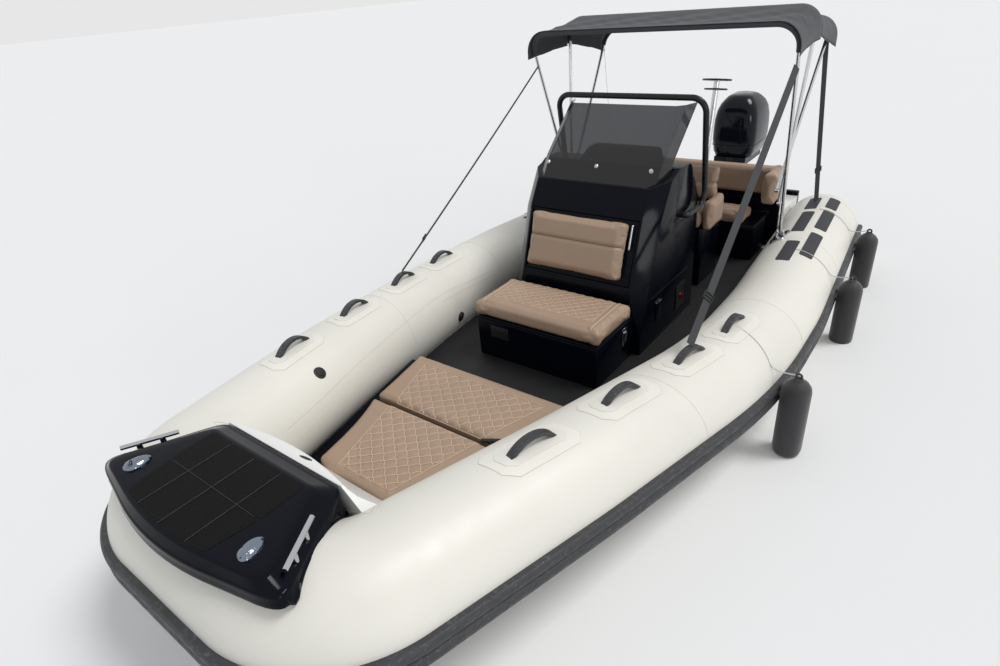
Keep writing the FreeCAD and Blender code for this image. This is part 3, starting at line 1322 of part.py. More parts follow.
# Every sub-part that is written out, with its file's name
NODES = ["tube", "rub_strake", "hull", "transom", "aft_deck", "grab_handles_port",
         "grab_handles_starboard", "bow_step", "bow_upstand", "nav_lights", "bow_cleats",
         "bow_locker", "sunpad_lid", "sunpad_aft", "sunpad_front", "front_seat_base",
         "front_seat_lid", "front_seat_cushion", "console", "console_door", "front_backrest",
         "door_handle", "windscreen", "screen_hoop", "steering_wheel", "throttle",
         "helm_seat_base", "helm_seat_cushion", "helm_seat_bolsters", "helm_backrest",
         "helm_seat_frame", "bench_base", "bench_cushion", "bench_backrest", "tow_pole",
         "engine_bracket", "engine_swivel", "engine_leg", "engine_cowling", "powerhead",
         "propeller", "canopy_bow_front", "canopy_bow_middle", "canopy_bow_rear",
         "canopy_front_panel", "canopy_rear_panel", "canopy_mounts", "canopy_straps_front",
         "canopy_straps_rear", "towing_eyes", "fenders"]
doc.recompute()
for piece in doc.Objects:
    bad = [state for state in piece.State if state in ("Invalid", "Error")]
    if bad:
        raise RuntimeError(f"{piece.Label} is {bad}")
os.makedirs("parts", exist_ok=True)
by_label = {piece.Label: piece for piece in doc.Objects}
for node in NODES:
    piece = by_label[node]
    shape = piece.Shape
    if shape.isNull() or not shape.isValid() or not shape.Solids:
        raise RuntimeError(f"{node} has no valid solid")
    shape.exportStep(f"parts/{node}.step")
    print(f"{node:26s} solids {len(shape.Solids)} volume {shape.Volume / 1e9:.5f} m3")
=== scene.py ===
"""Dresses a rigid inflatable boat: finishes, upholstery, canopy cloth, fittings and the stage.

Metres, +Z up, the bow towards -Y, port towards +X, z = 0 at the waterline.
"""
import json
import math
from functools import cache

import bmesh
import bpy
from bpy.props import FloatProperty, FloatVectorProperty, PointerProperty
from mathutils import Matrix, Vector
from mathutils.bvhtree import BVHTree


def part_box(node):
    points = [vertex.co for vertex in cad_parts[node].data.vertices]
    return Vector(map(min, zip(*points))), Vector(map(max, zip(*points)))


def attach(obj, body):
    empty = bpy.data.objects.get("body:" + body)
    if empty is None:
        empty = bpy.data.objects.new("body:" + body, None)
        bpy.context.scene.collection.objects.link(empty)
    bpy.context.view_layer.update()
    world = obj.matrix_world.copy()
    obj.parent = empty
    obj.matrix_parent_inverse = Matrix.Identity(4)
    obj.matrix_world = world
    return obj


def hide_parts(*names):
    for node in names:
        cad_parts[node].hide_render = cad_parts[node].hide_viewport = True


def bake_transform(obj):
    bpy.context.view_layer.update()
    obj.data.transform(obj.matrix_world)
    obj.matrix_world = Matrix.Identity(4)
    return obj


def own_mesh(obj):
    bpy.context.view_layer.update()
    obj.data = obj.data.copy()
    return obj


bl_info = {
    "name": "Rib boat dressing",
    "version": (1, 0, 0),
    "blender": (4, 5, 0),
    "location": "3D View > Sidebar > Rib boat",
    "description": "Finishes, upholstery, canopy and fittings of a rigid inflatable boat",
    "category": "Add Mesh",
}

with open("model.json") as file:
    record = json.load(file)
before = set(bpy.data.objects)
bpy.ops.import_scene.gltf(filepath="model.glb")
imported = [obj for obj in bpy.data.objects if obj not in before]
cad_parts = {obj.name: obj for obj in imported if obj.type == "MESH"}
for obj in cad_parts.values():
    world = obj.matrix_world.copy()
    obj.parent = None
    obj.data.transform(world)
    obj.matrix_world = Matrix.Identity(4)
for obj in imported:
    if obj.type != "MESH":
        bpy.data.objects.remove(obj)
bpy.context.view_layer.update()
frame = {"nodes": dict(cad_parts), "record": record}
NODES = frame["nodes"]
RECORD = frame["record"]
SLOTS = {part["node"]: part["material_slot"] for part in RECORD["subparts"]}
BODIES = {node: body for body, members in RECORD["behaviour"]["bodies"].items() for node in members}

# Tube centreline on the port side, as a first guess for casting. Columns: y, x, z
TUBE_AXIS = [(-2.40, 0.550, 0.525), (-1.30, 0.830, 0.455), (-0.05, 1.090, 0.350),
             (0.80, 1.090, 0.335), (2.74, 0.955, 0.290)]
TUBE_RADIUS = 0.29
HANDLE_PLACES = (-1.486, -0.954, -0.429, 0.036)

# The console's raked front: a point low on it, the way up along it and the way out of it
RAKE_LOW = Vector((0, 0.145, 0.655))
RAKE_ALONG = (Vector((0, 0.290, 1.073)) - RAKE_LOW).normalized()
RAKE_OUT = Vector((0, -RAKE_ALONG.z, RAKE_ALONG.y))

# The dash: its lower edge, the way up along it and the way out towards the helm
DASH_LOW = Vector((0, 0.960, 1.030))
DASH_ALONG = (Vector((0, 0.810, 1.280)) - DASH_LOW).normalized()
DASH_OUT = Vector((0, DASH_ALONG.z, -DASH_ALONG.y))


# Sizes and colours that a user would change
def length(name, default, note):
    return FloatProperty(name=name, description=note, default=default, unit="LENGTH", precision=4)


def tone(name, default, note):
    return FloatVectorProperty(name=name, description=note, default=default, size=4,
                               subtype="COLOR", min=0, max=1)


class RibBoatSizes(bpy.types.PropertyGroup):
    """Sizes of the pieces that the frame doesn't carry."""
    piping: length("Piping radius", 0.0028, "Piping and raised seams of the upholstery")
    quilt_wide: length("Quilt width", 0.085, "Width of a quilted diamond, across the boat")
    quilt_long: length("Quilt length", 0.074, "Length of a quilted diamond, fore and aft")
    quilt_puff: length("Quilt puff", 0.0070, "How far a quilted diamond swells")
    glue_line: length("Glue line", 0.0009, "Half width of the lines round patches")
    patch_long: length("Handle patch", 0.40, "Length of the patch under a handle")
    patch_wide: length("Handle patch width", 0.205, "Width of the patch under a handle")
    cloth_sag: length("Canopy sag", 0.026, "How far the canopy dips between its bows")
    cloth_thick: length("Canopy cloth", 0.0022, "Thickness of the canopy cloth")
    line_thick: length("Fender line", 0.0035, "Radius of the fender lines")


class RibBoatColours(bpy.types.PropertyGroup):
    """Colours of the finishes."""
    skin: tone("Tube skin", (0.74, 0.72, 0.655, 1), "Coated fabric of the tubes")
    rubber: tone("Rubber", (0.030, 0.031, 0.034, 1), "Strake, handles and trim")
    gelcoat: tone("Dark gelcoat", (0.0022, 0.0030, 0.0066, 1), "Console, lockers and bow step")
    pale: tone("Pale gelcoat", (0.78, 0.78, 0.76, 1), "Hull and upstand")
    hide: tone("Upholstery", (0.350, 0.245, 0.172, 1), "Leatherette of the cushions")
    piping: tone("Piping", (0.56, 0.42, 0.31, 1), "Raised seams of the upholstery")
    canvas: tone("Canopy", (0.034, 0.037, 0.043, 1), "Canopy cloth")
    webbing: tone("Webbing", (0.040, 0.041, 0.045, 1), "Canopy straps")
    deck: tone("Sole", (0.0075, 0.008, 0.009, 1), "Non-slip sole")
    seam: tone("Seam", (0.53, 0.50, 0.44, 1), "Glue lines of the tube")


# Finishes
class Finish:
    """A material whose nodes are laid one after another onto its shader."""

    def __init__(self, name, colour, roughness, metallic=0.0, coat=0.0):
        self.material = bpy.data.materials.new(name)
        self.material.use_nodes = True
        self.tree = self.material.node_tree
        self.shader = self.tree.nodes["Principled BSDF"]
        self.shader.inputs["Base Color"].default_value = colour
        self.shader.inputs["Roughness"].default_value = roughness
        self.shader.inputs["Metallic"].default_value = metallic
        self.shader.inputs["Coat Weight"].default_value = coat
        self.shader.inputs["Coat Roughness"].default_value = 0.06
        self.material.diffuse_color = colour
        self.normal = None

    def node(self, kind, **settings):
        made = self.tree.nodes.new(kind)
        for name, value in settings.items():
            setattr(made, name, value)
        return made

    def wire(self, output, target):
        self.tree.links.new(output, target)

    def places(self, scale, source="Object"):
        """Coordinates of the piece, stretched."""
        where = self.node("ShaderNodeTexCoord")
        mapping = self.node("ShaderNodeMapping")
        mapping.inputs["Scale"].default_value = scale
        self.wire(where.outputs[source], mapping.inputs["Vector"])
        return mapping.outputs["Vector"]

    def noise(self, scale, detail=3.0, stretch=(1, 1, 1), source="Object"):
        made = self.node("ShaderNodeTexNoise")
        made.inputs["Scale"].default_value = scale
        made.inputs["Detail"].default_value = detail
        self.wire(self.places(stretch, source), made.inputs["Vector"])
        return made.outputs["Fac"]

    def cells(self, scale, source="Object"):
        made = self.node("ShaderNodeTexVoronoi")
        made.inputs["Scale"].default_value = scale
        self.wire(self.places((1, 1, 1), source), made.inputs["Vector"])
        return made.outputs["Distance"]

    def ribs(self, scale, axis="X", source="UV"):
        made = self.node("ShaderNodeTexWave", wave_type="BANDS", bands_direction=axis)
        made.inputs["Scale"].default_value = scale
        self.wire(self.places((1, 1, 1), source), made.inputs["Vector"])
        return made.outputs["Fac"]

    def both(self, one, other, operation="MULTIPLY"):
        made = self.node("ShaderNodeMath", operation=operation)
        self.wire(one, made.inputs[0])
        self.wire(other, made.inputs[1])
        return made.outputs[0]

    def between(self, factor, low, high, start=0.3, end=0.7):
        made = self.node("ShaderNodeMapRange")
        for name, value in (("From Min", start), ("From Max", end), ("To Min", low), ("To Max", high)):
            made.inputs[name].default_value = value
        self.wire(factor, made.inputs["Value"])
        return made.outputs["Result"]

    def tint(self, factor, low, high):
        mix = self.node("ShaderNodeMix", data_type="RGBA")
        mix.inputs["A"].default_value = low
        mix.inputs["B"].default_value = high
        self.wire(factor, mix.inputs["Factor"])
        self.wire(mix.outputs["Result"], self.shader.inputs["Base Color"])

    def roughen(self, factor, low, high):
        self.wire(self.between(factor, low, high), self.shader.inputs["Roughness"])

    def dulled(self, level):
        """Turns down the mirror-like share of a dark surface."""
        self.shader.inputs["Specular IOR Level"].default_value = level
        return self

    def relief(self, height, depth, strength=1.0):
        bump = self.node("ShaderNodeBump")
        bump.inputs["Distance"].default_value = depth
        bump.inputs["Strength"].default_value = strength
        self.wire(height, bump.inputs["Height"])
        if self.normal:
            self.wire(self.normal, bump.inputs["Normal"])
        self.normal = bump.outputs["Normal"]
        self.wire(self.normal, self.shader.inputs["Normal"])


def colours():
    return bpy.context.scene.rib_boat_colours


def sizes():
    return bpy.context.scene.rib_boat_sizes


def shade(colour, factor):
    """A colour made darker or lighter."""
    return tuple(min(1.0, part * factor) for part in colour[:3]) + (1.0,)


def skin_finish(name, base, roughness):
    """Coated fabric: a fine weave under a soft sheen, with faint soiling."""
    made = Finish(name, base, roughness)
    soil = made.between(made.noise(1.3, 6), 0.0, 1.0, 0.42, 0.72)
    made.tint(soil, base, shade(base, 0.93))
    made.roughen(made.noise(9, 4), roughness - 0.05, roughness + 0.08)
    made.relief(made.noise(900, 1), 0.00025, 0.5)
    made.relief(made.noise(2.2, 2), 0.004, 0.35)
    return made.material


@cache
def tube_skin():
    return skin_finish("tube_skin", tuple(colours().skin), 0.42)


@cache
def patch_skin():
    return skin_finish("patch_skin", shade(colours().skin, 1.04), 0.48)


@cache
def seam_line():
    made = Finish("seam_line", tuple(colours().seam), 0.6)
    made.tint(made.noise(40, 3), shade(colours().seam, 0.7), shade(colours().seam, 1.35))
    return made.material


@cache
def worn_seam():
    """Glue lines that have gone brown at the bow."""
    made = Finish("worn_seam", shade(colours().seam, 0.62), 0.6)
    made.tint(made.noise(22, 3), shade(colours().seam, 0.45), shade(colours().seam, 1.15))
    return made.material


@cache
def black_rubber():
    base = tuple(colours().rubber)
    made = Finish("black_rubber", base, 0.5)
    scuff = made.between(made.noise(55, 8, (1, 1, 3)), 0.0, 1.0, 0.56, 0.78)
    made.tint(scuff, base, shade(base, 3.2))
    made.roughen(made.noise(25, 5), 0.38, 0.66)
    made.relief(made.noise(700, 2), 0.0004, 0.5)
    return made.material


def gloss_finish(name, base, roughness, haze):
    """Moulded gelcoat: a clear gloss with faint polishing haze and a little ripple."""
    made = Finish(name, base, roughness)
    haze_field = made.noise(6, 8)
    made.roughen(haze_field, roughness, haze)
    made.relief(made.noise(9, 1), 0.0012, 0.12)
    made.relief(made.noise(420, 2), 0.00008, 0.35)
    return made


@cache
def dark_gelcoat():
    base = tuple(colours().gelcoat)
    made = gloss_finish("dark_gelcoat", base, 0.08, 0.13).dulled(0.10)
    dust = made.between(made.noise(18, 9), 0.0, 0.5, 0.55, 0.85)
    made.tint(dust, base, shade(base, 2.0))
    return made.material


@cache
def pale_gelcoat():
    base = tuple(colours().pale)
    made = gloss_finish("pale_gelcoat", base, 0.16, 0.24)
    made.tint(made.between(made.noise(2.2, 5), 0, 1, 0.45, 0.75), base, shade(base, 0.94))
    return made.material


@cache
def polished_steel():
    made = Finish("polished_steel", (0.50, 0.52, 0.55, 1), 0.09, metallic=1.0)
    made.roughen(made.noise(160, 4, (1, 1, 0.1)), 0.06, 0.18)
    return made.material


@cache
def lamp_chrome():
    """Bright-work of the bow lights, with a painted reflection: its colour is darkened and blued as if it
    mirrored a dark blue sky.
    """
    # Painted reflection: the dark blue-grey base colour stands in for sky mirrored in the chrome.
    made = Finish("lamp_chrome", (0.22, 0.26, 0.32, 1), 0.06, metallic=1.0)
    made.roughen(made.noise(90, 4), 0.04, 0.12)
    made.relief(made.noise(26, 2), 0.006, 0.8)
    return made.material


@cache
def brushed_tube():
    made = Finish("brushed_tube", (0.66, 0.67, 0.69, 1), 0.2, metallic=1.0)
    made.roughen(made.noise(220, 5, (1, 1, 0.06)), 0.14, 0.30)
    made.relief(made.noise(900, 2, (1, 1, 0.04)), 0.0001, 0.3)
    return made.material


def hide_finish(name, base):
    """Leatherette: pores and creases at the real scale, a satin surface."""
    made = Finish(name, base, 0.5)
    made.tint(made.noise(5, 5), shade(base, 0.90), shade(base, 1.08))
    made.roughen(made.noise(30, 3), 0.42, 0.56)
    made.relief(made.cells(620), 0.0005, 0.45)
    made.relief(made.noise(45, 4), 0.0009, 0.25)
    return made.material


@cache
def upholstery():
    return hide_finish("upholstery", tuple(colours().hide))


@cache
def piping():
    return hide_finish("piping", tuple(colours().piping))


@cache
def seam_shadow():
    """Painted shade: the hide darkened to stand for the shadowed bottom of a sewn channel."""
    return hide_finish("seam_shadow", shade(colours().hide, 0.35))


@cache
def deck_grip():
    base = tuple(colours().deck)
    made = Finish("deck_grip", base, 0.6).dulled(0.35)
    grid = made.cells(160)
    made.tint(made.noise(7, 6), shade(base, 0.8), shade(base, 1.7))
    made.relief(grid, 0.0012, 0.8)
    return made.material


@cache
def mesh_grip():
    """Fine square mesh moulded into the step's panels."""
    base = (0.0045, 0.0045, 0.0045, 1)
    made = Finish("mesh_grip", base, 0.55).dulled(0.08)
    across = made.ribs(52, "X", "Object")
    along = made.ribs(52, "Y", "Object")
    net = made.both(across, along)
    # Painted light and shade: the mesh's raised knots are tinted lighter and its hollows darker, following
    # the relief.
    made.tint(made.between(net, 0, 1, 0.1, 0.6), shade(base, 0.55), shade(base, 2.2))
    made.relief(net, 0.0012, 0.9)
    return made.material


@cache
def satin_line():
    """The step's moulded lines, a little lighter and rougher than the plate round them."""
    made = Finish("satin_line", (0.012, 0.012, 0.013, 1), 0.35).dulled(0.22)
    made.roughen(made.noise(40, 4), 0.28, 0.45)
    return made.material


@cache
def pad_grip():
    """Dark anti-slip pads on the stern tubes."""
    base = (0.021, 0.022, 0.028, 1)
    made = Finish("pad_grip", base, 0.74)
    made.tint(made.noise(60, 5), shade(base, 0.75), shade(base, 1.6))
    made.relief(made.cells(420, source="UV"), 0.0007, 0.7)
    return made.material


@cache
def black_coat():
    """Satin powder coat on tubes."""
    made = Finish("black_coat", (0.010, 0.010, 0.011, 1), 0.28).dulled(0.3)
    made.roughen(made.noise(40, 4), 0.22, 0.36)
    made.relief(made.noise(800, 2), 0.0001, 0.5)
    return made.material


@cache
def black_plastic():
    made = Finish("black_plastic", (0.014, 0.014, 0.015, 1), 0.45).dulled(0.35)
    made.roughen(made.noise(60, 4), 0.36, 0.55)
    made.relief(made.noise(1100, 2), 0.0002, 0.5)
    return made.material


@cache
def engine_gloss():
    base = (0.004, 0.005, 0.009, 1)
    made = gloss_finish("engine_gloss", base, 0.07, 0.12).dulled(0.20)
    made.tint(made.between(made.noise(2600, 1), 0, 1, 0.5, 0.75), base, shade(base, 2.4))
    return made.material


@cache
def engine_satin():
    made = Finish("engine_satin", (0.011, 0.012, 0.016, 1), 0.33).dulled(0.3)
    made.roughen(made.noise(30, 5), 0.26, 0.42)
    return made.material


@cache
def cast_metal():
    made = Finish("cast_metal", (0.42, 0.42, 0.43, 1), 0.32, metallic=1.0)
    made.roughen(made.noise(60, 6), 0.24, 0.46)
    return made.material


@cache
def smoked_acrylic():
    made = Finish("smoked_acrylic", (0.062, 0.066, 0.072, 1), 0.03)
    made.shader.inputs["Transmission Weight"].default_value = 1.0
    made.shader.inputs["IOR"].default_value = 1.49
    made.roughen(made.noise(14, 6), 0.02, 0.05)
    return made.material


@cache
def clear_lens():
    made = Finish("clear_lens", (0.92, 0.94, 0.97, 1), 0.02)
    made.shader.inputs["Transmission Weight"].default_value = 1.0
    made.shader.inputs["IOR"].default_value = 1.45
    made.relief(made.ribs(60, "Y", "Object"), 0.0006, 0.3)
    return made.material


@cache
def dark_glass():
    made = Finish("dark_glass", (0.006, 0.007, 0.009, 1), 0.05, coat=1.0)
    made.roughen(made.noise(20, 4), 0.04, 0.09)
    return made.material


@cache
def pale_mark():
    made = Finish("pale_mark", (0.72, 0.72, 0.70, 1), 0.5)
    made.tint(made.noise(30, 2), (0.66, 0.66, 0.64, 1), (0.76, 0.76, 0.74, 1))
    return made.material


@cache
def red_plastic():
    made = Finish("red_plastic", (0.20, 0.010, 0.010, 1), 0.35)
    made.roughen(made.noise(60, 3), 0.28, 0.45)
    return made.material


def cloth_finish(name, base, threads, fuzz):
    """Woven cloth: crossed threads along its own UV, with a soft sheen and a faded face."""
    made = Finish(name, base, 0.85)
    made.shader.inputs["Sheen Weight"].default_value = fuzz
    made.shader.inputs["Sheen Roughness"].default_value = 0.5
    weave = made.both(made.ribs(threads, "X"), made.ribs(threads, "Y"), "MAXIMUM")
    fade = made.noise(2.4, 6)
    made.tint(fade, shade(base, 0.82), shade(base, 1.22))
    made.relief(weave, 0.0003, 0.5)
    made.relief(made.noise(5, 4, source="UV"), 0.006, 0.35)
    return made.material


@cache
def canopy_cloth():
    return cloth_finish("canopy_cloth", tuple(colours().canvas), 90, 0.12)


@cache
def grey_webbing():
    return cloth_finish("grey_webbing", tuple(colours().webbing), 110, 0.05)


@cache
def black_webbing():
    return cloth_finish("black_webbing", (0.012, 0.012, 0.013, 1), 110, 0.1)


@cache
def fender_skin():
    made = Finish("fender_skin", (0.012, 0.012, 0.014, 1), 0.62)
    made.shader.inputs["Sheen Weight"].default_value = 0.3
    made.tint(made.noise(12, 5), (0.010, 0.010, 0.012, 1), (0.022, 0.022, 0.025, 1))
    made.relief(made.noise(260, 3), 0.0008, 0.6)
    return made.material


@cache
def pale_line():
    made = Finish("pale_line", (0.62, 0.61, 0.57, 1), 0.8)
    made.tint(made.noise(70, 3), (0.50, 0.49, 0.45, 1), (0.70, 0.69, 0.65, 1))
    made.relief(made.ribs(120, "DIAGONAL", "Object"), 0.0006, 0.7)
    return made.material


# Shapes
def turned_to(start, end):
    """A matrix that lays the Z axis along the run between two points, centred on it."""
    run = end - start
    return Matrix.Translation((start + end) / 2) @ run.to_track_quat("Z", "Y").to_matrix().to_4x4()


def rod(bm, start, end, radius, tip=None, sides=24):
    """A round bar or cone between two points."""
    bmesh.ops.create_cone(bm, cap_ends=True, segments=sides, radius1=radius,
                          radius2=radius if tip is None else tip,
                          depth=(end - start).length, matrix=turned_to(start, end))


def block(bm, low, high, turn=None):
    """A box between two corners, then turned."""
    low = Vector(low)
    high = Vector(high)
    matrix = Matrix.Translation((low + high) / 2) @ Matrix.Diagonal((*(high - low), 1))
    bmesh.ops.create_cube(bm, size=1, matrix=turn @ matrix if turn else matrix)


def ball(bm, centre, radii, turn=None, rings=16):
    """An ellipsoid."""
    matrix = Matrix.Translation(centre)
    if turn:
        matrix = matrix @ turn
    matrix = matrix @ Matrix.Diagonal((*radii, 1))
    bmesh.ops.create_uvsphere(bm, u_segments=2 * rings, v_segments=rings, radius=1, matrix=matrix)


def ring(bm, centre, axis, radius, section, around=40, sides=12):
    """A torus: a circle spun round an axis."""
    turn = axis.to_track_quat("Z", "Y").to_matrix().to_4x4()
    side = turn @ Vector((radius, 0, 0))
    face = Matrix.Translation(centre + side) @ turn @ Matrix.Rotation(math.pi / 2, 4, "X")
    made = bmesh.ops.create_circle(bm, cap_ends=False, segments=sides, radius=section, matrix=face)
    edges = list({edge for vert in made["verts"] for edge in vert.link_edges})
    bmesh.ops.spin(bm, geom=made["verts"] + edges, cent=centre, axis=axis, dvec=(0, 0, 0),
                   angle=2 * math.pi, steps=around, use_merge=True, use_duplicate=False)


def ease(bm, width, segments=2, angle=25):
    """Rounds every edge sharper than an angle."""
    bmesh.ops.recalc_face_normals(bm, faces=bm.faces)
    sharp = [edge for edge in bm.edges
             if len(edge.link_faces) == 2 and edge.calc_face_angle(0) > math.radians(angle)]
    bmesh.ops.bevel(bm, geom=sharp, offset=width, offset_type="OFFSET", segments=segments,
                    profile=0.5, affect="EDGES", clamp_overlap=True, material=-1)


def finished(bm, name, finish, body="root", slot=None, crease=35, tidy=True):
    """Turns a bmesh into a piece with its finish and its body; the slot is passed on but not used."""
    if tidy:
        bmesh.ops.remove_doubles(bm, verts=bm.verts, dist=0.00001)
        bmesh.ops.recalc_face_normals(bm, faces=bm.faces)
    mesh = bpy.data.meshes.new(name)
    bm.to_mesh(mesh)
    bm.free()
    return dressed(mesh, name, finish, body, slot, crease)


def dressed(mesh, name, finish, body="root", slot=None, crease=35):
    piece = bpy.data.objects.new(name, mesh)
    bpy.context.scene.collection.objects.link(piece)
    mesh.materials.clear()
    mesh.materials.append(finish)
    mesh.shade_smooth()
    mesh.set_sharp_from_angle(angle=math.radians(crease))
    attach(piece, body)
    return piece


def merged_copy(node):
    """A frame node's mesh as a closed bmesh of whole faces."""
    bm = bmesh.new()
    bm.from_mesh(NODES[node].data)
    bmesh.ops.remove_doubles(bm, verts=bm.verts, dist=0.00002)
    return bm


def eased(node, finish, width, segments=2, angle=25):
    """Stands in for a frame node, with its corners rounded as a moulding's are."""
    bm = merged_copy(node)
    bmesh.ops.dissolve_limit(bm, angle_limit=math.radians(0.8), use_dissolve_boundaries=False,
                             verts=bm.verts, edges=bm.edges, delimit=set())
    ease(bm, width, segments, angle)
    piece = finished(bm, node + "_moulded", finish, BODIES[node], SLOTS[node])
    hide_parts(node)
    return piece


def kept(node, finish):
    """Gives a frame node its finish."""
    piece = NODES[node]
    piece.data.materials.clear()
    piece.data.materials.append(finish)
    return piece


def beads(name, lines, radius, finish, body="root", slot=None, closed=False, sides=2, smooth=False):
    """Round beads along lines of points, as one piece."""
    curve = bpy.data.curves.new(name, "CURVE")
    curve.dimensions = "3D"
    curve.bevel_depth = radius
    curve.bevel_resolution = sides
    curve.use_fill_caps = True
    for line in lines:
        spline = curve.splines.new("NURBS" if smooth else "POLY")
        spline.points.add(len(line) - 1)
        for point, place in zip(spline.points, line):
            point.co = (*place, 1)
        if smooth:
            spline.order_u = 4
            spline.use_endpoint_u = not closed
            spline.resolution_u = 6
        spline.use_cyclic_u = closed
    maker = bpy.data.objects.new(name, curve)
    bpy.context.scene.collection.objects.link(maker)
    mesh = bpy.data.meshes.new_from_object(maker.evaluated_get(bpy.context.evaluated_depsgraph_get()))
    bpy.data.objects.remove(maker)
    mesh.name = name
    bm = bmesh.new()
    bm.from_mesh(mesh)
    return finished(bm, name, finish, body, slot, 60)


def flat_sheet(corners, cell):
    """A closed sheet of unit thickness over a convex outline, in cells, its flat place as its UV."""
    bm = bmesh.new()
    low = Vector((min(c[0] for c in corners), min(c[1] for c in corners), 0))
    high = Vector((max(c[0] for c in corners), max(c[1] for c in corners), 0))
    count = [max(1, math.ceil((high[i] - low[i]) / cell)) for i in (0, 1)]
    matrix = Matrix.Translation((low + high) / 2) @ Matrix.Diagonal((*((high - low) / 2).xy, 1, 1))
    bmesh.ops.create_grid(bm, x_segments=count[0], y_segments=count[1], size=1, matrix=matrix)
    for one, other in zip(corners, list(corners[1:]) + [corners[0]]):
        way = Vector((other[0] - one[0], other[1] - one[1], 0))
        outward = Vector((way.y, -way.x, 0))
        bmesh.ops.bisect_plane(bm, geom=bm.verts[:] + bm.edges[:] + bm.faces[:], dist=0.00001,
                               plane_co=(one[0], one[1], 0), plane_no=outward, clear_outer=True)
    made = bmesh.ops.extrude_face_region(bm, geom=bm.faces[:])
    moved = [item for item in made["geom"] if isinstance(item, bmesh.types.BMVert)]
    bmesh.ops.translate(bm, vec=(0, 0, 1), verts=moved)
    bmesh.ops.recalc_face_normals(bm, faces=bm.faces)
    layer = bm.loops.layers.uv.new("UVMap")
    for face in bm.faces:
        for loop in face.loops:
            loop[layer].uv = loop.vert.co.xy
    return bm


def carried(bm, carry):
    """Moves every vertex by a function of its flat place."""
    for vert in bm.verts:
        vert.co = carry(vert.co.x, vert.co.y, vert.co.z)


def round_outline(wide, tall, radius, steps=4):
    """Corner points of a rounded rectangle about the origin, anticlockwise."""
    points = []
    for turn, (x, y) in enumerate(((1, 1), (-1, 1), (-1, -1), (1, -1))):
        for step in range(steps + 1):
            angle = math.radians(90 * turn + 90 * step / steps)
            points.append((x * (wide / 2 - radius) + radius * math.cos(angle),
                           y * (tall / 2 - radius) + radius * math.sin(angle)))
    return points


def surface(piece):
    """A piece's surface to cast rays at."""
    return BVHTree.FromObject(piece, bpy.context.evaluated_depsgraph_get())


def dropped(tree, x, y, top=3.0):
    """The point straight below a place on a surface, with its normal."""
    place, normal, _, _ = tree.ray_cast(Vector((x, y, top)), Vector((0, 0, -1)))
    if place is None:
        raise RuntimeError(f"nothing lies below {x:.3f}, {y:.3f}")
    return place, normal


def along_line(start, end, step):
    """Points from one place to another, about a step apart."""
    start = Vector(start)
    end = Vector(end)
    count = max(1, round((end - start).length / step))
    return [start.lerp(end, i / count) for i in range(count + 1)]


def rounded_line(points, bends, step=0.01):
    """Points along straight runs with a tangent arc at each inner corner."""
    points = [Vector(point) for point in points]
    line = [points[0]]
    for before, corner, after, bend in zip(points, points[1:], points[2:], bends):
        come = (corner - before).normalized()
        leave = (after - corner).normalized()
        half = come.angle(leave) / 2
        inward = (leave - come).normalized()
        centre = corner + inward * (bend / math.cos(half))
        steps = max(3, round(2 * half * bend / step))
        for i in range(steps + 1):
            angle = -half + 2 * half * i / steps
            mid = (come + leave).normalized()
            line.append(centre - inward * bend * math.cos(angle) + mid * bend * math.sin(angle))
    line.append(points[-1])
    return line


# Places on the tube
@cache
def tube_tree():
    return surface(NODES["tube"])


@cache
def tube_centre(y):
    """Centre of the port tube's section across the boat at a distance aft."""
    for low, high in zip(TUBE_AXIS, TUBE_AXIS[1:]):
        if y <= high[0]:
            break
    share = (y - low[0]) / (high[0] - low[0])
    centre = Vector((low[1] + (high[1] - low[1]) * share, y, low[2] + (high[2] - low[2]) * share))
    for _ in range(2):
        for axis in (Vector((1, 0, 0)), Vector((0, 0, 1))):
            one = tube_tree().ray_cast(centre, axis)[0]
            other = tube_tree().ray_cast(centre, -axis)[0]
            centre = (one + other) / 2
    return centre


def on_tube(y, angle, lift, side=1):
    """A point on the tube: distance aft, angle outboard from the top, and how far it stands out."""
    centre = tube_centre(round(y, 4))
    way = Vector((math.sin(angle), 0, math.cos(angle)))
    place, normal, _, _ = tube_tree().ray_cast(centre, way)
    if normal.dot(way) < 0:
        normal = -normal
    place = place + normal * lift
    return Vector((place.x * side, place.y, place.z))


def tube_patch(name, y, outline, finish, side, lean=0.0, high=0.0018):
    """A thin patch laid on the tube: its outline is in metres along it and round it."""
    bm = flat_sheet(outline, PATCH_CELL)

    def carry(along, around, level):
        return on_tube(y + along, lean + around / TUBE_RADIUS, PATCH_SUNK + (high - PATCH_SUNK) * level, side)

    carried(bm, carry)
    finished(bm, name, finish, slot="tube_skin", crease=40, tidy=False)


def tube_outline(y, outline, side, lift):
    """The outline of a patch as points on the tube."""
    return [on_tube(y + along, around / TUBE_RADIUS, lift, side)
            for along, around in outline_run(outline, 0.015)]


# Cushions
COVER_STEPS = 12
COVER_PRESSURE = 4.0
COVER_DRAWN_IN = 0.004
QUILT_STEP = 0.006
STITCH_LIFT = 0.0004
BORDER_LIFT = 0.0008


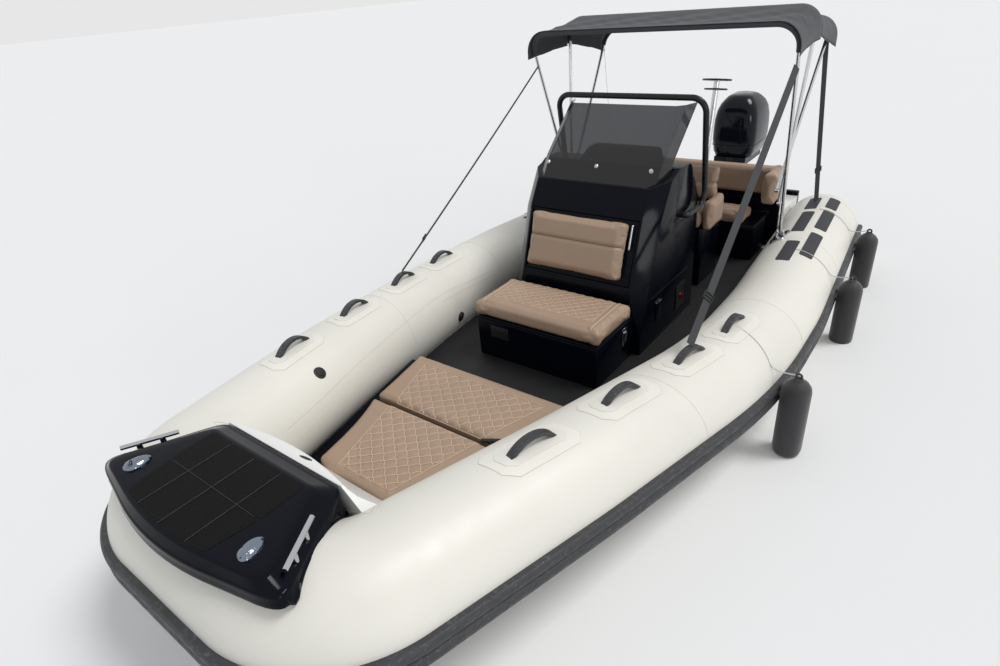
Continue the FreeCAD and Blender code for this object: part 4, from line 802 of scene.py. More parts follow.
def blown_up(piece, pressure, cap, floor):
    """Swells a closed mesh as pressed cloth, holding each point within a cap and above its seat."""
    rest = [vert.co.copy() for vert in piece.data.vertices]
    cloth = piece.modifiers.new("cover", "CLOTH")
    cloth.settings.quality = 5
    cloth.settings.mass = 0.3
    cloth.settings.use_pressure = True
    cloth.settings.uniform_pressure_force = pressure
    cloth.settings.effector_weights.gravity = 0
    cloth.point_cache.frame_start = 1
    cloth.point_cache.frame_end = COVER_STEPS
    scene = bpy.context.scene
    for step in range(1, COVER_STEPS + 1):
        scene.frame_set(step)
    solved = bpy.data.meshes.new_from_object(piece.evaluated_get(bpy.context.evaluated_depsgraph_get()))
    piece.modifiers.clear()
    for vert, start, end in zip(piece.data.vertices, rest, solved.vertices):
        move = end.co - start
        if move.length > cap:
            move = move * (cap / move.length)
        vert.co = start + move
        vert.co.z = max(vert.co.z, floor)
    bpy.data.meshes.remove(solved)
    scene.frame_set(1)


def swollen(bm, amount, floor):
    """The quick stand-in for a swollen cover: each point moves out along its normal."""
    bm.normal_update()
    for vert in bm.verts:
        vert.co += vert.normal * amount
        vert.co.z = max(vert.co.z, floor)


def cushion(node, finish, voxel, cap, shape=None):
    """A stuffed cover over a frame node: drawn in, remeshed, swollen and smoothed."""
    bm = merged_copy(node)
    bmesh.ops.recalc_face_normals(bm, faces=bm.faces)
    bm.normal_update()
    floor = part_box(node)[0].z
    mesh = bpy.data.meshes.new(node + "_cover")
    bm.to_mesh(mesh)
    bm.free()
    piece = bpy.data.objects.new(node + "_cover", mesh)
    bpy.context.scene.collection.objects.link(piece)
    remesh = piece.modifiers.new("voxels", "REMESH")
    remesh.mode = "VOXEL"
    remesh.voxel_size = voxel
    even = piece.modifiers.new("even", "SMOOTH")
    even.iterations = 3
    even.factor = 0.5
    settled = bpy.data.meshes.new_from_object(piece.evaluated_get(bpy.context.evaluated_depsgraph_get()))
    piece.modifiers.clear()
    piece.data = settled
    bpy.data.meshes.remove(mesh)
    bm = bmesh.new()
    bm.from_mesh(settled)
    swollen(bm, -COVER_DRAWN_IN, floor)
    bm.to_mesh(settled)
    bm.free()
    blown_up(piece, COVER_PRESSURE, cap, floor)
    fine = piece.modifiers.new("fine", "SUBSURF")
    fine.levels = 1
    fine.render_levels = 1
    smooth = bpy.data.meshes.new_from_object(piece.evaluated_get(bpy.context.evaluated_depsgraph_get()))
    bpy.data.objects.remove(piece)
    bpy.data.meshes.remove(settled)
    smooth.name = node + "_cover"
    if shape:
        bm = bmesh.new()
        bm.from_mesh(smooth)
        bm.normal_update()
        shape(bm)
        bm.to_mesh(smooth)
        bm.free()
    piece = dressed(smooth, node + "_cover", finish, BODIES[node], SLOTS[node], 60)
    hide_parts(node)
    return piece


def inside(polygon, x, y):
    """How far a point is inside a convex outline; negative outside."""
    reach = 1e9
    for one, other in zip(polygon, polygon[1:] + polygon[:1]):
        way = Vector((other[0] - one[0], other[1] - one[1]))
        away = (x - one[0]) * -way.y + (y - one[1]) * way.x
        reach = min(reach, away / way.length)
    return reach


def inset_plan(polygon, amount):
    """A convex outline moved in by an amount, or out by a negative one."""
    moved = []
    count = len(polygon)
    for i in range(count):
        corner = Vector(polygon[i])
        come = (corner - Vector(polygon[i - 1])).normalized()
        leave = (Vector(polygon[(i + 1) % count]) - corner).normalized()
        one = Vector((-come.y, come.x))
        other = Vector((-leave.y, leave.x))
        moved.append(corner + (one + other) * (amount / (1 + one.dot(other))))
    return moved


def corners_drawn_in(bm, polygon, radius, origin=Vector((0, 0, 0)), up=Vector((0, 1, 0))):
    """Rounds a cover's corners: the outline is anticlockwise, in X and along the way up from the origin."""
    core = inset_plan(polygon, radius)
    for vert in bm.verts:
        place = Vector((vert.co.x, (vert.co - origin).dot(up)))
        if inside(core, *place) >= 0:
            continue
        near = None
        for one, other in zip(core, core[1:] + core[:1]):
            way = other - one
            share = min(1, max(0, (place - one).dot(way) / way.length_squared))
            point = one + way * share
            if near is None or (place - point).length < (place - near).length:
                near = point
        gap = (place - near).length
        if gap > radius:
            move = (near - place) * (1 - radius / gap)
            vert.co.x += move.x
            vert.co += up * move.y


def quilt_phase(x, wide):
    """Where a quilt line runs: flatter at its nodes than between them."""
    share = x / wide
    return share - 0.55 * math.sin(4 * math.pi * share) / (4 * math.pi)


def quilt_puff(polygon, wide, long, puff, top):
    """A function that swells the diamonds of a quilted field."""

    def shape(bm):
        for vert in bm.verts:
            if vert.normal.z < 0.55 or vert.co.z < top:
                continue
            reach = inside(polygon, vert.co.x, vert.co.y)
            if reach <= 0:
                continue
            phase = quilt_phase(vert.co.x, wide)
            row = vert.co.y / long
            cell = abs(math.sin(math.pi * (row - phase)) * math.sin(math.pi * (row + phase)))
            vert.co.z += puff * (cell ** 0.55 - 0.35) * min(1, reach / 0.012)

    return shape


def quilt_lines(polygon, wide, long):
    """Runs of points along every quilt line inside a convex outline."""
    low_x = min(x for x, _ in polygon)
    high_x = max(x for x, _ in polygon)
    low_y = min(y for _, y in polygon)
    high_y = max(y for _, y in polygon)
    reach = (high_x - low_x) / wide + 2
    runs = []
    for lean in (1, -1):
        first = math.floor(low_y / long - reach)
        last = math.ceil(high_y / long + reach)
        for row in range(first, last + 1):
            run = []
            for i in range(round((high_x - low_x) / QUILT_STEP) + 1):
                x = low_x + i * QUILT_STEP
                y = (lean * quilt_phase(x, wide) + row) * long
                if inside(polygon, x, y) > 0:
                    run.append((x, y))
                elif run:
                    runs.append(run)
                    run = []
            if run:
                runs.append(run)
    return [run for run in runs if len(run) > 3]


def laid_on(tree, runs, lift, top=3.0):
    """Runs of flat points dropped onto a surface."""
    laid = []
    for run in runs:
        line = []
        for x, y in run:
            place, normal = dropped(tree, x, y, top)
            line.append(place + normal * lift)
        laid.append(line)
    return laid


def outline_run(polygon, step=0.012):
    """The points round a closed outline."""
    run = []
    for one, other in zip(polygon, polygon[1:] + polygon[:1]):
        for point in along_line((*one, 0), (*other, 0), step)[:-1]:
            run.append((point.x, point.y))
    return run


def quilted(node, label, field, cell, stitch, voxel, cap, crown=0.02, moulding=None):
    """A stuffed cover with a quilted field: raised diamonds, their stitching and a border."""
    size = sizes()
    wide, long = cell
    puff = quilt_puff(field, wide, long, size.quilt_puff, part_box(node)[1].z - crown)

    def shape(bm):
        puff(bm)
        if moulding:
            moulding(bm)

    tree = surface(cushion(node, upholstery(), voxel=voxel, cap=cap, shape=shape))
    lines = laid_on(tree, quilt_lines(field, wide, long), STITCH_LIFT)
    beads(label + "_quilting", lines, stitch, piping(), BODIES[node], SLOTS[node])
    border = laid_on(tree, [outline_run(field)], BORDER_LIFT)
    beads(label + "_border", border, size.piping * 0.8, piping(), BODIES[node], SLOTS[node], closed=True)
    return tree


# The stage
FLOOR_REACH = 200
# Soft suns. Columns: name, strength, spread in degrees, colour, the way towards it
LAMPS = [("key", 1.7, 22, (1.0, 0.985, 0.96), (0.50, 0.30, 1.0)),
         ("edge", 0.35, 16, (1.0, 1.0, 1.0), (0.91, -0.38, 0.20))]
CAMERA_PLACE = Vector((1.949, -3.021, 2.367))
CAMERA_YAW = math.radians(39.589)
CAMERA_PITCH = math.radians(-29.237)
CAMERA_ROLL = math.radians(-5.483)
SENSOR = 36.0
FOCAL_PIXELS = 616.775
PICTURE_WIDE = 1000


class RIBBOAT_OT_stage(bpy.types.Operator):
    """Lay the floor, set the light and stand the camera where the photographer stood"""
    bl_idname = "ribboat.stage"
    bl_label = "Stage"

    def execute(self, context):
        scene = context.scene
        scene.view_settings.view_transform = "Standard"
        bm = bmesh.new()
        bmesh.ops.create_grid(bm, x_segments=1, y_segments=1, size=FLOOR_REACH)
        mesh = bpy.data.meshes.new("floor")
        bm.to_mesh(mesh)
        bm.free()
        floor = bpy.data.objects.new("floor", mesh)
        scene.collection.objects.link(floor)
        pale = Finish("floor", (0.78, 0.78, 0.78, 1), 0.9)
        pale.tint(pale.noise(0.8, 3), (0.77, 0.77, 0.775, 1), (0.79, 0.79, 0.79, 1))
        mesh.materials.append(pale.material)

        for name, energy, spread, colour, place in LAMPS:
            sun = bpy.data.lights.new(name, "SUN")
            sun.energy = energy
            sun.angle = math.radians(spread)
            sun.color = colour
            lamp = bpy.data.objects.new(name, sun)
            scene.collection.objects.link(lamp)
            lamp.rotation_euler = Vector(place).to_track_quat("Z", "Y").to_euler()
        self.surroundings(scene)
        self.camera(scene)
        return {"FINISHED"}

    def surroundings(self, scene):
        """A soft glow on the boat, seen as white by the camera, in gloss and through glass."""
        world = bpy.data.worlds.new("studio")
        scene.world = world
        world.use_nodes = True
        tree = world.node_tree
        glow = tree.nodes["Background"]
        glow.inputs["Color"].default_value = (0.93, 0.96, 1.0, 1)
        glow.inputs["Strength"].default_value = 0.62
        white = tree.nodes.new("ShaderNodeBackground")
        white.inputs["Strength"].default_value = 1.0
        path = tree.nodes.new("ShaderNodeLightPath")
        seen = None
        for ray in ("Is Camera Ray", "Is Glossy Ray", "Is Transmission Ray"):
            if seen is None:
                seen = path.outputs[ray]
                continue
            most = tree.nodes.new("ShaderNodeMath")
            most.operation = "MAXIMUM"
            tree.links.new(seen, most.inputs[0])
            tree.links.new(path.outputs[ray], most.inputs[1])
            seen = most.outputs[0]
        mix = tree.nodes.new("ShaderNodeMixShader")
        tree.links.new(seen, mix.inputs["Fac"])
        tree.links.new(glow.outputs[0], mix.inputs[1])
        tree.links.new(white.outputs[0], mix.inputs[2])
        tree.links.new(mix.outputs[0], tree.nodes["World Output"].inputs["Surface"])

    def camera(self, scene):
        """The camera where the photograph was taken from."""
        forward = Vector((-math.sin(CAMERA_YAW) * math.cos(CAMERA_PITCH),
                          math.cos(CAMERA_YAW) * math.cos(CAMERA_PITCH), math.sin(CAMERA_PITCH)))
        level = forward.cross(Vector((0, 0, 1))).normalized()
        upright = level.cross(forward)
        right = level * math.cos(CAMERA_ROLL) + upright * math.sin(CAMERA_ROLL)
        up = upright * math.cos(CAMERA_ROLL) - level * math.sin(CAMERA_ROLL)
        lens = bpy.data.cameras.new("camera")
        lens.sensor_fit = "HORIZONTAL"
        lens.sensor_width = SENSOR
        lens.lens = FOCAL_PIXELS * SENSOR / PICTURE_WIDE
        lens.clip_end = 1000
        camera = bpy.data.objects.new("camera", lens)
        scene.collection.objects.link(camera)
        turn = Matrix((right, up, -forward)).transposed().to_4x4()
        camera.matrix_world = Matrix.Translation(CAMERA_PLACE) @ turn
        scene.camera = camera


# The tubes
PATCH_CELL = 0.02
PATCH_SUNK = -0.001
VALVE_PLACES = [(-1, -1.493, -0.80), (-1, -0.160, -1.68)]
# Anti-slip pads on the stern tubes. Columns: from y, to y, lean
GRIP_PADS = [(1.10, 1.50, -0.10), (1.72, 2.22, -0.17), (2.30, 2.62, -0.20),
             (1.26, 1.74, 0.32), (1.85, 2.32, 0.32), (2.38, 2.66, 0.30)]
GRIP_WIDE = 0.090
# Seams that run round the tube: their distances aft, and the angles between which they run
RING_SEAMS = (-0.72, 0.42, 1.56, 2.66)
RING_START = -1.5
RING_END = 2.6
RING_STEPS = 60
SEAM_LIFT = 0.0002
# Seams that wander over the tube, as points: distance aft, angle outboard from the top
BOW_SEAMS = [[(-2.05, -0.60), (-2.13, -0.27), (-2.26, 0.20), (-2.344, 0.49), (-2.41, 0.73), (-2.48, 1.05)],
             [(-2.16, -0.62), (-2.242, -0.31), (-2.335, 0.06), (-2.439, 0.41), (-2.553, 0.91)],
             [(-2.21, -0.50), (-2.298, -0.10), (-2.36, 0.10)],
             [(-2.405, 0.32), (-2.475, 0.45), (-2.531, 0.54)],
             [(-2.60, 0.01), (-2.59, 0.34), (-2.571, 0.52)]]
LONG_SEAMS = [[(-1.834, -1.21), (-1.583, -1.18), (-1.10, -1.05), (-0.70, -0.96), (-0.297, -0.91),
               (0.036, -1.00), (0.345, -1.08)],
              [(-0.30, -1.06), (0.04, -1.13), (0.34, -1.20)]]
BOW_WELT = [(-2.20, -0.66), (-2.28, -0.40), (-2.346, -0.13), (-2.431, 0.17), (-2.484, 0.34), (-2.535, 0.52)]


def patch_plan(long, wide, cut):
    """A rectangle with cut corners, about the origin."""
    x = long / 2
    y = wide / 2
    return [(x, -y + cut), (x, y - cut), (x - cut, y), (-x + cut, y),
            (-x, y - cut), (-x, -y + cut), (-x + cut, -y), (x - cut, -y)]


class RIBBOAT_OT_tube(bpy.types.Operator):
    """Finish the tubes with seams, patches, handles, valves and anti-slip pads"""
    bl_idname = "ribboat.tube"
    bl_label = "Tubes"

    def execute(self, context):
        size = sizes()
        kept("tube", tube_skin())
        kept("rub_strake", black_rubber())
        outlines = []
        for side, name in ((1, "port"), (-1, "starboard")):
            for number, y in enumerate(HANDLE_PLACES):
                plan = patch_plan(size.patch_long, size.patch_wide, 0.045)
                tube_patch(f"handle_patch_{name}_{number}", y, plan, patch_skin(), side)
                outlines.append(tube_outline(y, plan, side, 0.0012))
                raised = patch_plan(size.patch_long * 0.78, size.patch_wide * 0.56, 0.03)
                tube_patch(f"handle_plate_{name}_{number}", y, raised, tube_skin(), side, high=0.0045)
            kept("grab_handles_" + name, black_rubber())
            for number, (start, end, lean) in enumerate(GRIP_PADS):
                plan = patch_plan(end - start, GRIP_WIDE, 0.012)
                tube_patch(f"grip_pad_{name}_{number}", (start + end) / 2, plan, pad_grip(), side,
                           lean=lean, high=0.0030)
        beads("patch_glue", outlines, size.glue_line, seam_line(), slot="tube_skin", closed=True)
        seams = []
        angles = [RING_START + (RING_END - RING_START) * i / RING_STEPS for i in range(RING_STEPS + 1)]
        for y in RING_SEAMS:
            for side in (1, -1):
                seams.append([on_tube(y, angle, SEAM_LIFT, side) for angle in angles])
        for side in (1, -1):
            seams += [self.wandering(points, side, SEAM_LIFT) for points in LONG_SEAMS]
        beads("tube_seams", seams, size.glue_line, seam_line(), slot="tube_skin")
        worn = [self.wandering(points, side, SEAM_LIFT) for side in (1, -1) for points in BOW_SEAMS]
        beads("bow_seams", worn, size.glue_line, worn_seam(), slot="tube_skin")
        welts = [self.wandering(BOW_WELT, side, -0.004) for side in (1, -1)]
        beads("bow_welt", welts, 0.0105, tube_skin(), slot="tube_skin", sides=4)
        for number, (side, y, lean) in enumerate(VALVE_PLACES):
            self.valve(f"valve_{number}", side, y, lean)
        return {"FINISHED"}

    def wandering(self, points, side, lift):
        """A smooth line over the tube through places given by distance aft and angle."""
        line = []
        last = len(points) - 1
        for i, (start, end) in enumerate(zip(points, points[1:])):
            before = Vector(points[max(0, i - 1)])
            after = Vector(points[min(last, i + 2)])
            start = Vector(start)
            end = Vector(end)
            lead = (end - before) / 2
            trail = (after - start) / 2
            for step in range(12):
                t = step / 12
                place = (start * (2 * t ** 3 - 3 * t ** 2 + 1) + lead * (t ** 3 - 2 * t ** 2 + t)
                         + end * (3 * t ** 2 - 2 * t ** 3) + trail * (t ** 3 - t ** 2))
                line.append(on_tube(place.x, place.y, lift, side))
        line.append(on_tube(*points[-1], lift, side))
        return line

    def valve(self, name, side, y, lean):
        """A valve's cap with six studs."""
        foot = on_tube(y, lean, -0.004, side)
        head = on_tube(y, lean, 0.008, side)
        out = (head - foot).normalized()
        bm = bmesh.new()
        rod(bm, foot, foot + out * 0.009, 0.036, 0.033, 40)
        rod(bm, foot, foot + out * 0.014, 0.024, 0.020, 32)
        for turn in range(6):
            angle = turn * math.pi / 3
            arm = out.to_track_quat("Z", "Y") @ Vector((math.cos(angle), math.sin(angle), 0)) * 0.011
            rod(bm, foot + arm + out * 0.010, foot + arm + out * 0.0145, 0.0028, sides=10)
        ease(bm, 0.0012)
        finished(bm, name, black_plastic(), slot="black_rubber")


# Hull, sole and transom. The level just over the sole
SOLE_LEVEL = 0.2252
# The mat on the sole: where it starts, and the steps in which its edge follows the tube
MAT_THICK = 0.0024
MAT_FRONT = -1.79
MAT_STEP = 0.114
MAT_STEPS = 36


class RIBBOAT_OT_hull(bpy.types.Operator):
    """Finish the hull and transom, and lay the sole's non-slip mat"""
    bl_idname = "ribboat.hull"
    bl_label = "Hull and sole"

    def execute(self, context):
        kept("hull", pale_gelcoat())
        eased("transom", dark_gelcoat(), 0.008)
        eased("aft_deck", pale_gelcoat(), 0.010)
        port = []
        for step in range(MAT_STEPS):
            y = MAT_FRONT + step * MAT_STEP
            hit = tube_tree().ray_cast(Vector((0, y, SOLE_LEVEL + 0.0013)), Vector((1, 0, 0)))[0]
            port.append((min(hit.x if hit else 0.9, 0.9) - 0.003, y))
        bm = bmesh.new()
        for one, other in zip(port, port[1:]):
            corners = [(one[0], one[1]), (other[0], other[1]), (-other[0], other[1]), (-one[0], one[1])]
            bm.faces.new([bm.verts.new((x, y, SOLE_LEVEL)) for x, y in corners])
        bmesh.ops.remove_doubles(bm, verts=bm.verts, dist=0.0001)
        made = bmesh.ops.extrude_face_region(bm, geom=bm.faces[:])
        moved = [item for item in made["geom"] if isinstance(item, bmesh.types.BMVert)]
        bmesh.ops.translate(bm, vec=(0, 0, MAT_THICK), verts=moved)
        finished(bm, "sole_mat", deck_grip(), slot="hull_gelcoat")
        kept("towing_eyes", polished_steel())
        return {"FINISHED"}


# The bow step
STEP_TOP = 1.2
PANEL_SUNK = -0.0010
LIGHT_HALF = 0.386
# The plate's outer edge and the edge of its raised middle, port half from the front round to the back
STEP_OUTER = [(0.000, -2.636), (0.200, -2.622), (0.400, -2.580), (0.560, -2.548), (0.598, -2.500),
              (0.535, -2.400), (0.425, -2.180), (0.374, -2.102), (0.290, -2.106), (0.000, -2.104)]
STEP_INNER = [(0.000, -2.606), (0.200, -2.592), (0.380, -2.560), (0.498, -2.540), (0.520, -2.500),
              (0.448, -2.380), (0.352, -2.215), (0.326, -2.180), (0.270, -2.184), (0.000, -2.184)]
# The plate's rings: share of the way from the outer edge to the inner, and height
STEP_RINGS = [(0.00, 0.823), (0.04, 0.831), (0.12, 0.8355), (0.24, 0.8370), (0.32, 0.8400), (0.86, 0.8655),
              (0.96, 0.8700), (1.10, 0.8720), (1.60, 0.8735)]
# Panels of the port half; the starboard half mirrors them
STEP_PANELS = [
    [(0.004, -2.592), (0.158, -2.582), (0.158, -2.389), (0.004, -2.389)],
    [(0.004, -2.381), (0.158, -2.381), (0.158, -2.196), (0.004, -2.196)],
    [(0.167, -2.580), (0.262, -2.568), (0.296, -2.389), (0.167, -2.389)],
    [(0.167, -2.381), (0.298, -2.381), (0.300, -2.196), (0.167, -2.196)],
]
STEP_LINES = [[(-0.270, -2.385), (0.270, -2.385)], [(0.0, -2.590), (0.0, -2.206)],
              [(0.1625, -2.580), (0.1625, -2.206)], [(-0.1625, -2.580), (-0.1625, -2.206)]]
# The pale upstand behind the plate
UPSTAND_FRONT = -2.0985
UPSTAND_LEVELS = (0.230, 0.354, 0.480, 0.640, 0.785, 0.814, 0.8235, 0.829)
SLOT_CENTRE = (0.120, -2.068)
LIGHT_LEVEL = 0.8735
LIGHT_TURN = 0.19


def whole_plan(half):
    """Both halves of an outline as one loop, its corners cut off and cut again."""
    loop = [Vector(point) for point in half]
    loop += [Vector((-x, y)) for x, y in reversed(half[1:-1])]
    for _ in range(2):
        cut = []
        for one, other in zip(loop, loop[1:] + loop[:1]):
            cut += [one.lerp(other, 0.25), one.lerp(other, 0.75)]
        loop = cut
    return loop


def rounded_plan(corners, radius):
    """A flat outline whose corners are rounded."""
    steps = 4
    line = []
    count = len(corners)
    for i in range(count):
        before = Vector(corners[i - 1])
        corner = Vector(corners[i])
        after = Vector(corners[(i + 1) % count])
        come = (corner - before).normalized()
        leave = (after - corner).normalized()
        start = corner - come * radius
        end = corner + leave * radius
        for step in range(steps + 1):
            share = step / steps
            one = start.lerp(corner, share)
            other = corner.lerp(end, share)
            point = one.lerp(other, share)
            line.append((point.x, point.y))
    return line


def laid_panel(name, tree, plan, finish, slot, high=0.0012, cell=0.02):
    """A thin panel laid on a surface that faces up."""
    bm = flat_sheet(plan, cell)

    def carry(x, y, level):
        return dropped(tree, x, y, STEP_TOP)[0] + Vector((0, 0, PANEL_SUNK + (high - PANEL_SUNK) * level))

    carried(bm, carry)
    finished(bm, name, finish, slot=slot, crease=40, tidy=False)


class RIBBOAT_OT_bow_step(bpy.types.Operator):
    """Finish the bow step with its mesh panels, lights and cleats"""
    bl_idname = "ribboat.bow_step"
    bl_label = "Bow step"

    def execute(self, context):
        tree = surface(self.plate())
        for number, corners in enumerate(STEP_PANELS):
            for side, name in ((1, "port"), (-1, "starboard")):
                plan = [(x * side, y) for x, y in corners]
                if side < 0:
                    plan.reverse()
                laid_panel(f"step_mesh_{name}_{number}", tree, rounded_plan(plan, 0.014), mesh_grip(),
                           "black_gelcoat")
        runs = [[(point.x, point.y) for point in along_line((*one, 0), (*other, 0), 0.02)]
                for one, other in STEP_LINES]
        beads("step_lines", laid_on(tree, runs, STITCH_LIFT, STEP_TOP), 0.0026, satin_line(),
              slot="black_gelcoat")
        self.upstand()
        kept("bow_cleats", polished_steel())
        self.lights()
        return {"FINISHED"}

    def plate(self):
        """The plate as rings from its lip on the tube up to its raised middle."""
        outer = whole_plan(STEP_OUTER)
        inner = whole_plan(STEP_INNER)
        bm = bmesh.new()
        loops = []
        feet = []
        for place in outer:
            hit = tube_tree().ray_cast(Vector((place.x, place.y, 1.0)), Vector((0, 0, -1)))[0]
            lowest = 0.786 - 0.086 * min(1, max(0, (place.y + 2.50) / 0.06))
            feet.append(min(0.798, max(lowest, hit.z - 0.004 if hit else lowest)))
        rings = [[(2.6, foot - 0.10) for foot in feet], [(2.3, foot + 0.001) for foot in feet],
                 [(-0.08, foot) for foot in feet], [(-0.10, foot + 0.009) for foot in feet],
                 [(-0.01, foot + 0.015) for foot in feet]]
        rings += [[(share, level)] * len(outer) for share, level in STEP_RINGS]
        for ring_places in rings:
            verts = []
            for one, other, (share, level) in zip(outer, inner, ring_places):
                place = one.lerp(other, share)
                verts.append(bm.verts.new((place.x, place.y, level)))
            loops.append(verts)
        for low, high in zip(loops, loops[1:]):
            for i in range(len(low)):
                after = (i + 1) % len(low)
                bm.faces.new([low[i], low[after], high[after], high[i]])
        bmesh.ops.holes_fill(bm, edges=bm.edges, sides=200)
        piece = finished(bm, "bow_step_moulded", dark_gelcoat(), slot=SLOTS["bow_step"], crease=50)
        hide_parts("bow_step")
        return piece

    def upstand(self):
        """The pale upstand: a crescent beside the plate that falls away to the locker."""
        bm = bmesh.new()
        rows = []
        count = 24
        front = UPSTAND_FRONT
        levels = UPSTAND_LEVELS
        for i in range(count + 1):
            share = 2 * i / count - 1
            deep = 0.0585 - 0.046 * share ** 2
            behind = [-1.831, -1.831, -1.880, -1.950, front + deep + 0.012, front + deep,
                      front + deep * 0.93, front + deep * 0.75]
            profile = [(front, level) for level in levels] + [(front + deep * 0.2, 0.8312)]
            profile += list(zip(behind, levels))[::-1]
            row = []
            for y, level in profile:
                wide = min(0.580, 0.368 + 1.1 * max(0, 0.829 - level))
                row.append(bm.verts.new((share * wide, y, level)))
            rows.append(row)
        for one, other in zip(rows, rows[1:]):
            for i in range(len(one)):
                after = (i + 1) % len(one)
                bm.faces.new([one[i], one[after], other[after], other[i]])
        for row in (rows[0], rows[-1]):
            for i in range(len(levels) - 1):
                bm.faces.new([row[i], row[i + 1], row[-2 - i], row[-1 - i]])
            bm.faces.new(row[len(levels) - 1:len(levels) + 2])
        piece = finished(bm, "bow_upstand_moulded", pale_gelcoat(), slot=SLOTS["bow_upstand"], crease=40)
        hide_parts("bow_upstand")
        tree = surface(piece)
        # The slot is a flat black sheet laid on the upstand: painted shade for the dark inside of its
        # opening.
        across, aft = SLOT_CENTRE
        plan = [(across + x * 0.036 - y * 0.002, aft + y * 0.006 + x * 0.004)
                for x, y in [(math.cos(a * math.pi / 8), math.sin(a * math.pi / 8)) for a in range(16)]]
        laid_panel("upstand_slot_shade", tree, plan, black_plastic(), "black_rubber", high=0.0008, cell=0.01)

    def lights(self):
        """Teardrop lights: a bright rim round a domed hood and its lens."""
        low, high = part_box("nav_lights")
        middle = (low.y + high.y) / 2
        for side, name in ((1, "port"), (-1, "starboard")):
            centre = Vector((side * LIGHT_HALF, middle, LIGHT_LEVEL))
            turn = Matrix.Rotation(side * LIGHT_TURN, 4, "Z")
            rows = (("rim", 0.000, (0.0375, 0.0585, 0.0065), polished_steel()),
                    ("hood", 0.002, (0.0330, 0.0535, 0.0240), lamp_chrome()))
            for part, lift, radii, finish in rows:
                bm = bmesh.new()
                ball(bm, centre + Vector((0, 0, lift - 0.003)), radii, turn)
                for vert in bm.verts:
                    share = (vert.co.y - centre.y) / radii[1]
                    vert.co.x = centre.x + (vert.co.x - centre.x) * (1 - 0.22 * share)
                piece = finished(bm, f"light_{part}_{name}", finish, slot="polished_steel")
                if side > 0 and part == "hood":
                    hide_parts("nav_lights")
            bm = bmesh.new()
            front = centre + turn.to_3x3() @ Vector((0, -0.023, 0.001))
            ball(bm, front, (0.0285, 0.0275, 0.0228), turn)
            finished(bm, f"light_lens_{name}", clear_lens(), slot="polished_steel")


# Sun pads
AFT_QUILT = [(-0.428, -0.874), (-0.308, -1.236), (0.308, -1.236), (0.428, -0.874)]
FRONT_QUILT = [(-0.309, -1.275), (-0.174, -1.760), (0.174, -1.760), (0.309, -1.275)]
# Outlines whose corners are rounded, carried on past the split where the corner stays
AFT_ROUND = [(-0.443, -1.420), (0.443, -1.420), (0.566, -0.779), (-0.566, -0.779)]
AFT_CORNER = 0.075
# Where the front pad starts to reach forward
PAD_BEND = -1.42
# The toggle between the pads and its stem, each from end to end
PAD_TOGGLE = ((0.318, -1.262, 0.431), (0.388, -1.222, 0.431))
PAD_STEM = ((0.353, -1.228, 0.428), (0.353, -1.256, 0.428))


class RIBBOAT_OT_sun_pads(bpy.types.Operator):
    """Upholster the sun pads with quilting and piping"""
    bl_idname = "ribboat.sun_pads"
    bl_label = "Sun pads"

    def execute(self, context):
        size = sizes()
        eased("bow_locker", dark_gelcoat(), 0.008)
        eased("sunpad_lid", dark_gelcoat(), 0.004)
        cell = (size.quilt_wide, size.quilt_long)
        for node, field, moulding in (("sunpad_aft", AFT_QUILT, self.round_corners),
                                      ("sunpad_front", FRONT_QUILT, self.reach_forward)):
            quilted(node, node, field, cell, stitch=0.0027, voxel=0.010, cap=0.010, moulding=moulding)
        self.latch()
        return {"FINISHED"}

    def round_corners(self, bm):
        """Rounds the aft pad's outer corners."""
        corners_drawn_in(bm, AFT_ROUND, AFT_CORNER)

    def reach_forward(self, bm):
        """Draws the front pad's end out to the bow and its corners a little outwards."""
        for vert in bm.verts:
            reach = min(1, max(0, (PAD_BEND - vert.co.y) / 0.31)) ** 2
            vert.co.y -= reach * (0.014 + 0.040 * min(1, abs(vert.co.x) / 0.30) ** 2)
            vert.co.x *= 1 + 0.10 * reach

    def latch(self):
        """The toggle in the split between the pads."""
        bm = bmesh.new()
        low, high = (Vector(place) for place in PAD_TOGGLE)
        rod(bm, low, high, 0.011, sides=20)
        for place in (low, high):
            ball(bm, place, (0.0125, 0.0125, 0.0110), rings=8)
        rod(bm, *(Vector(place) for place in PAD_STEM), 0.009, sides=16)
        finished(bm, "pad_latch", black_plastic(), body="sunpad_lid", slot="black_rubber")


# Front seat
SEAT_QUILT = [(-0.362, 0.052), (-0.362, -0.252), (0.362, -0.252), (0.362, 0.052)]
SEAT_CELL = (0.066, 0.060)
SEAT_ROUND = [(-0.470, -0.365), (0.470, -0.365), (0.470, 0.080), (-0.470, 0.080)]
SEAT_CORNER = 0.050
# The backrest: its ends along the rake, and its outline on the rake
BACKREST_ALONG = (0.050, 0.412)
BACKREST_ROUND = [(-0.348, 0.046), (0.348, 0.046), (0.348, 0.416), (-0.348, 0.416)]
BACKREST_CORNER = 0.055
# The latch on the seat's port side and the louvre in its front, as boxes
SEAT_LATCH = [((0.4402, -0.030, 0.355), (0.4445, 0.040, 0.475)),
              ((0.4440, -0.014, 0.385), (0.4540, 0.024, 0.450))]
LOUVRE_FRAME = ((-0.330, -0.3545, 0.385), (-0.190, -0.3502, 0.470))
LOUVRE_SLATS = 5
LOUVRE_LOW = 0.395
LOUVRE_STEP = 0.014


def rake_point(x, along, out):
    """A place on the console's raked front."""
    return Vector((x, 0, 0)) + RAKE_LOW + RAKE_ALONG * along + RAKE_OUT * out


def dash_point(x, along, out):
    """A place on the dash."""
    return Vector((x, 0, 0)) + DASH_LOW + DASH_ALONG * along + DASH_OUT * out


def turned_axes(right, up):
    """A turn whose X and Y are the given ways."""
    out = right.cross(up)
    return Matrix((right, up, out)).transposed().to_4x4()


DASH_TURN = turned_axes(Vector((-1, 0, 0)), DASH_ALONG)


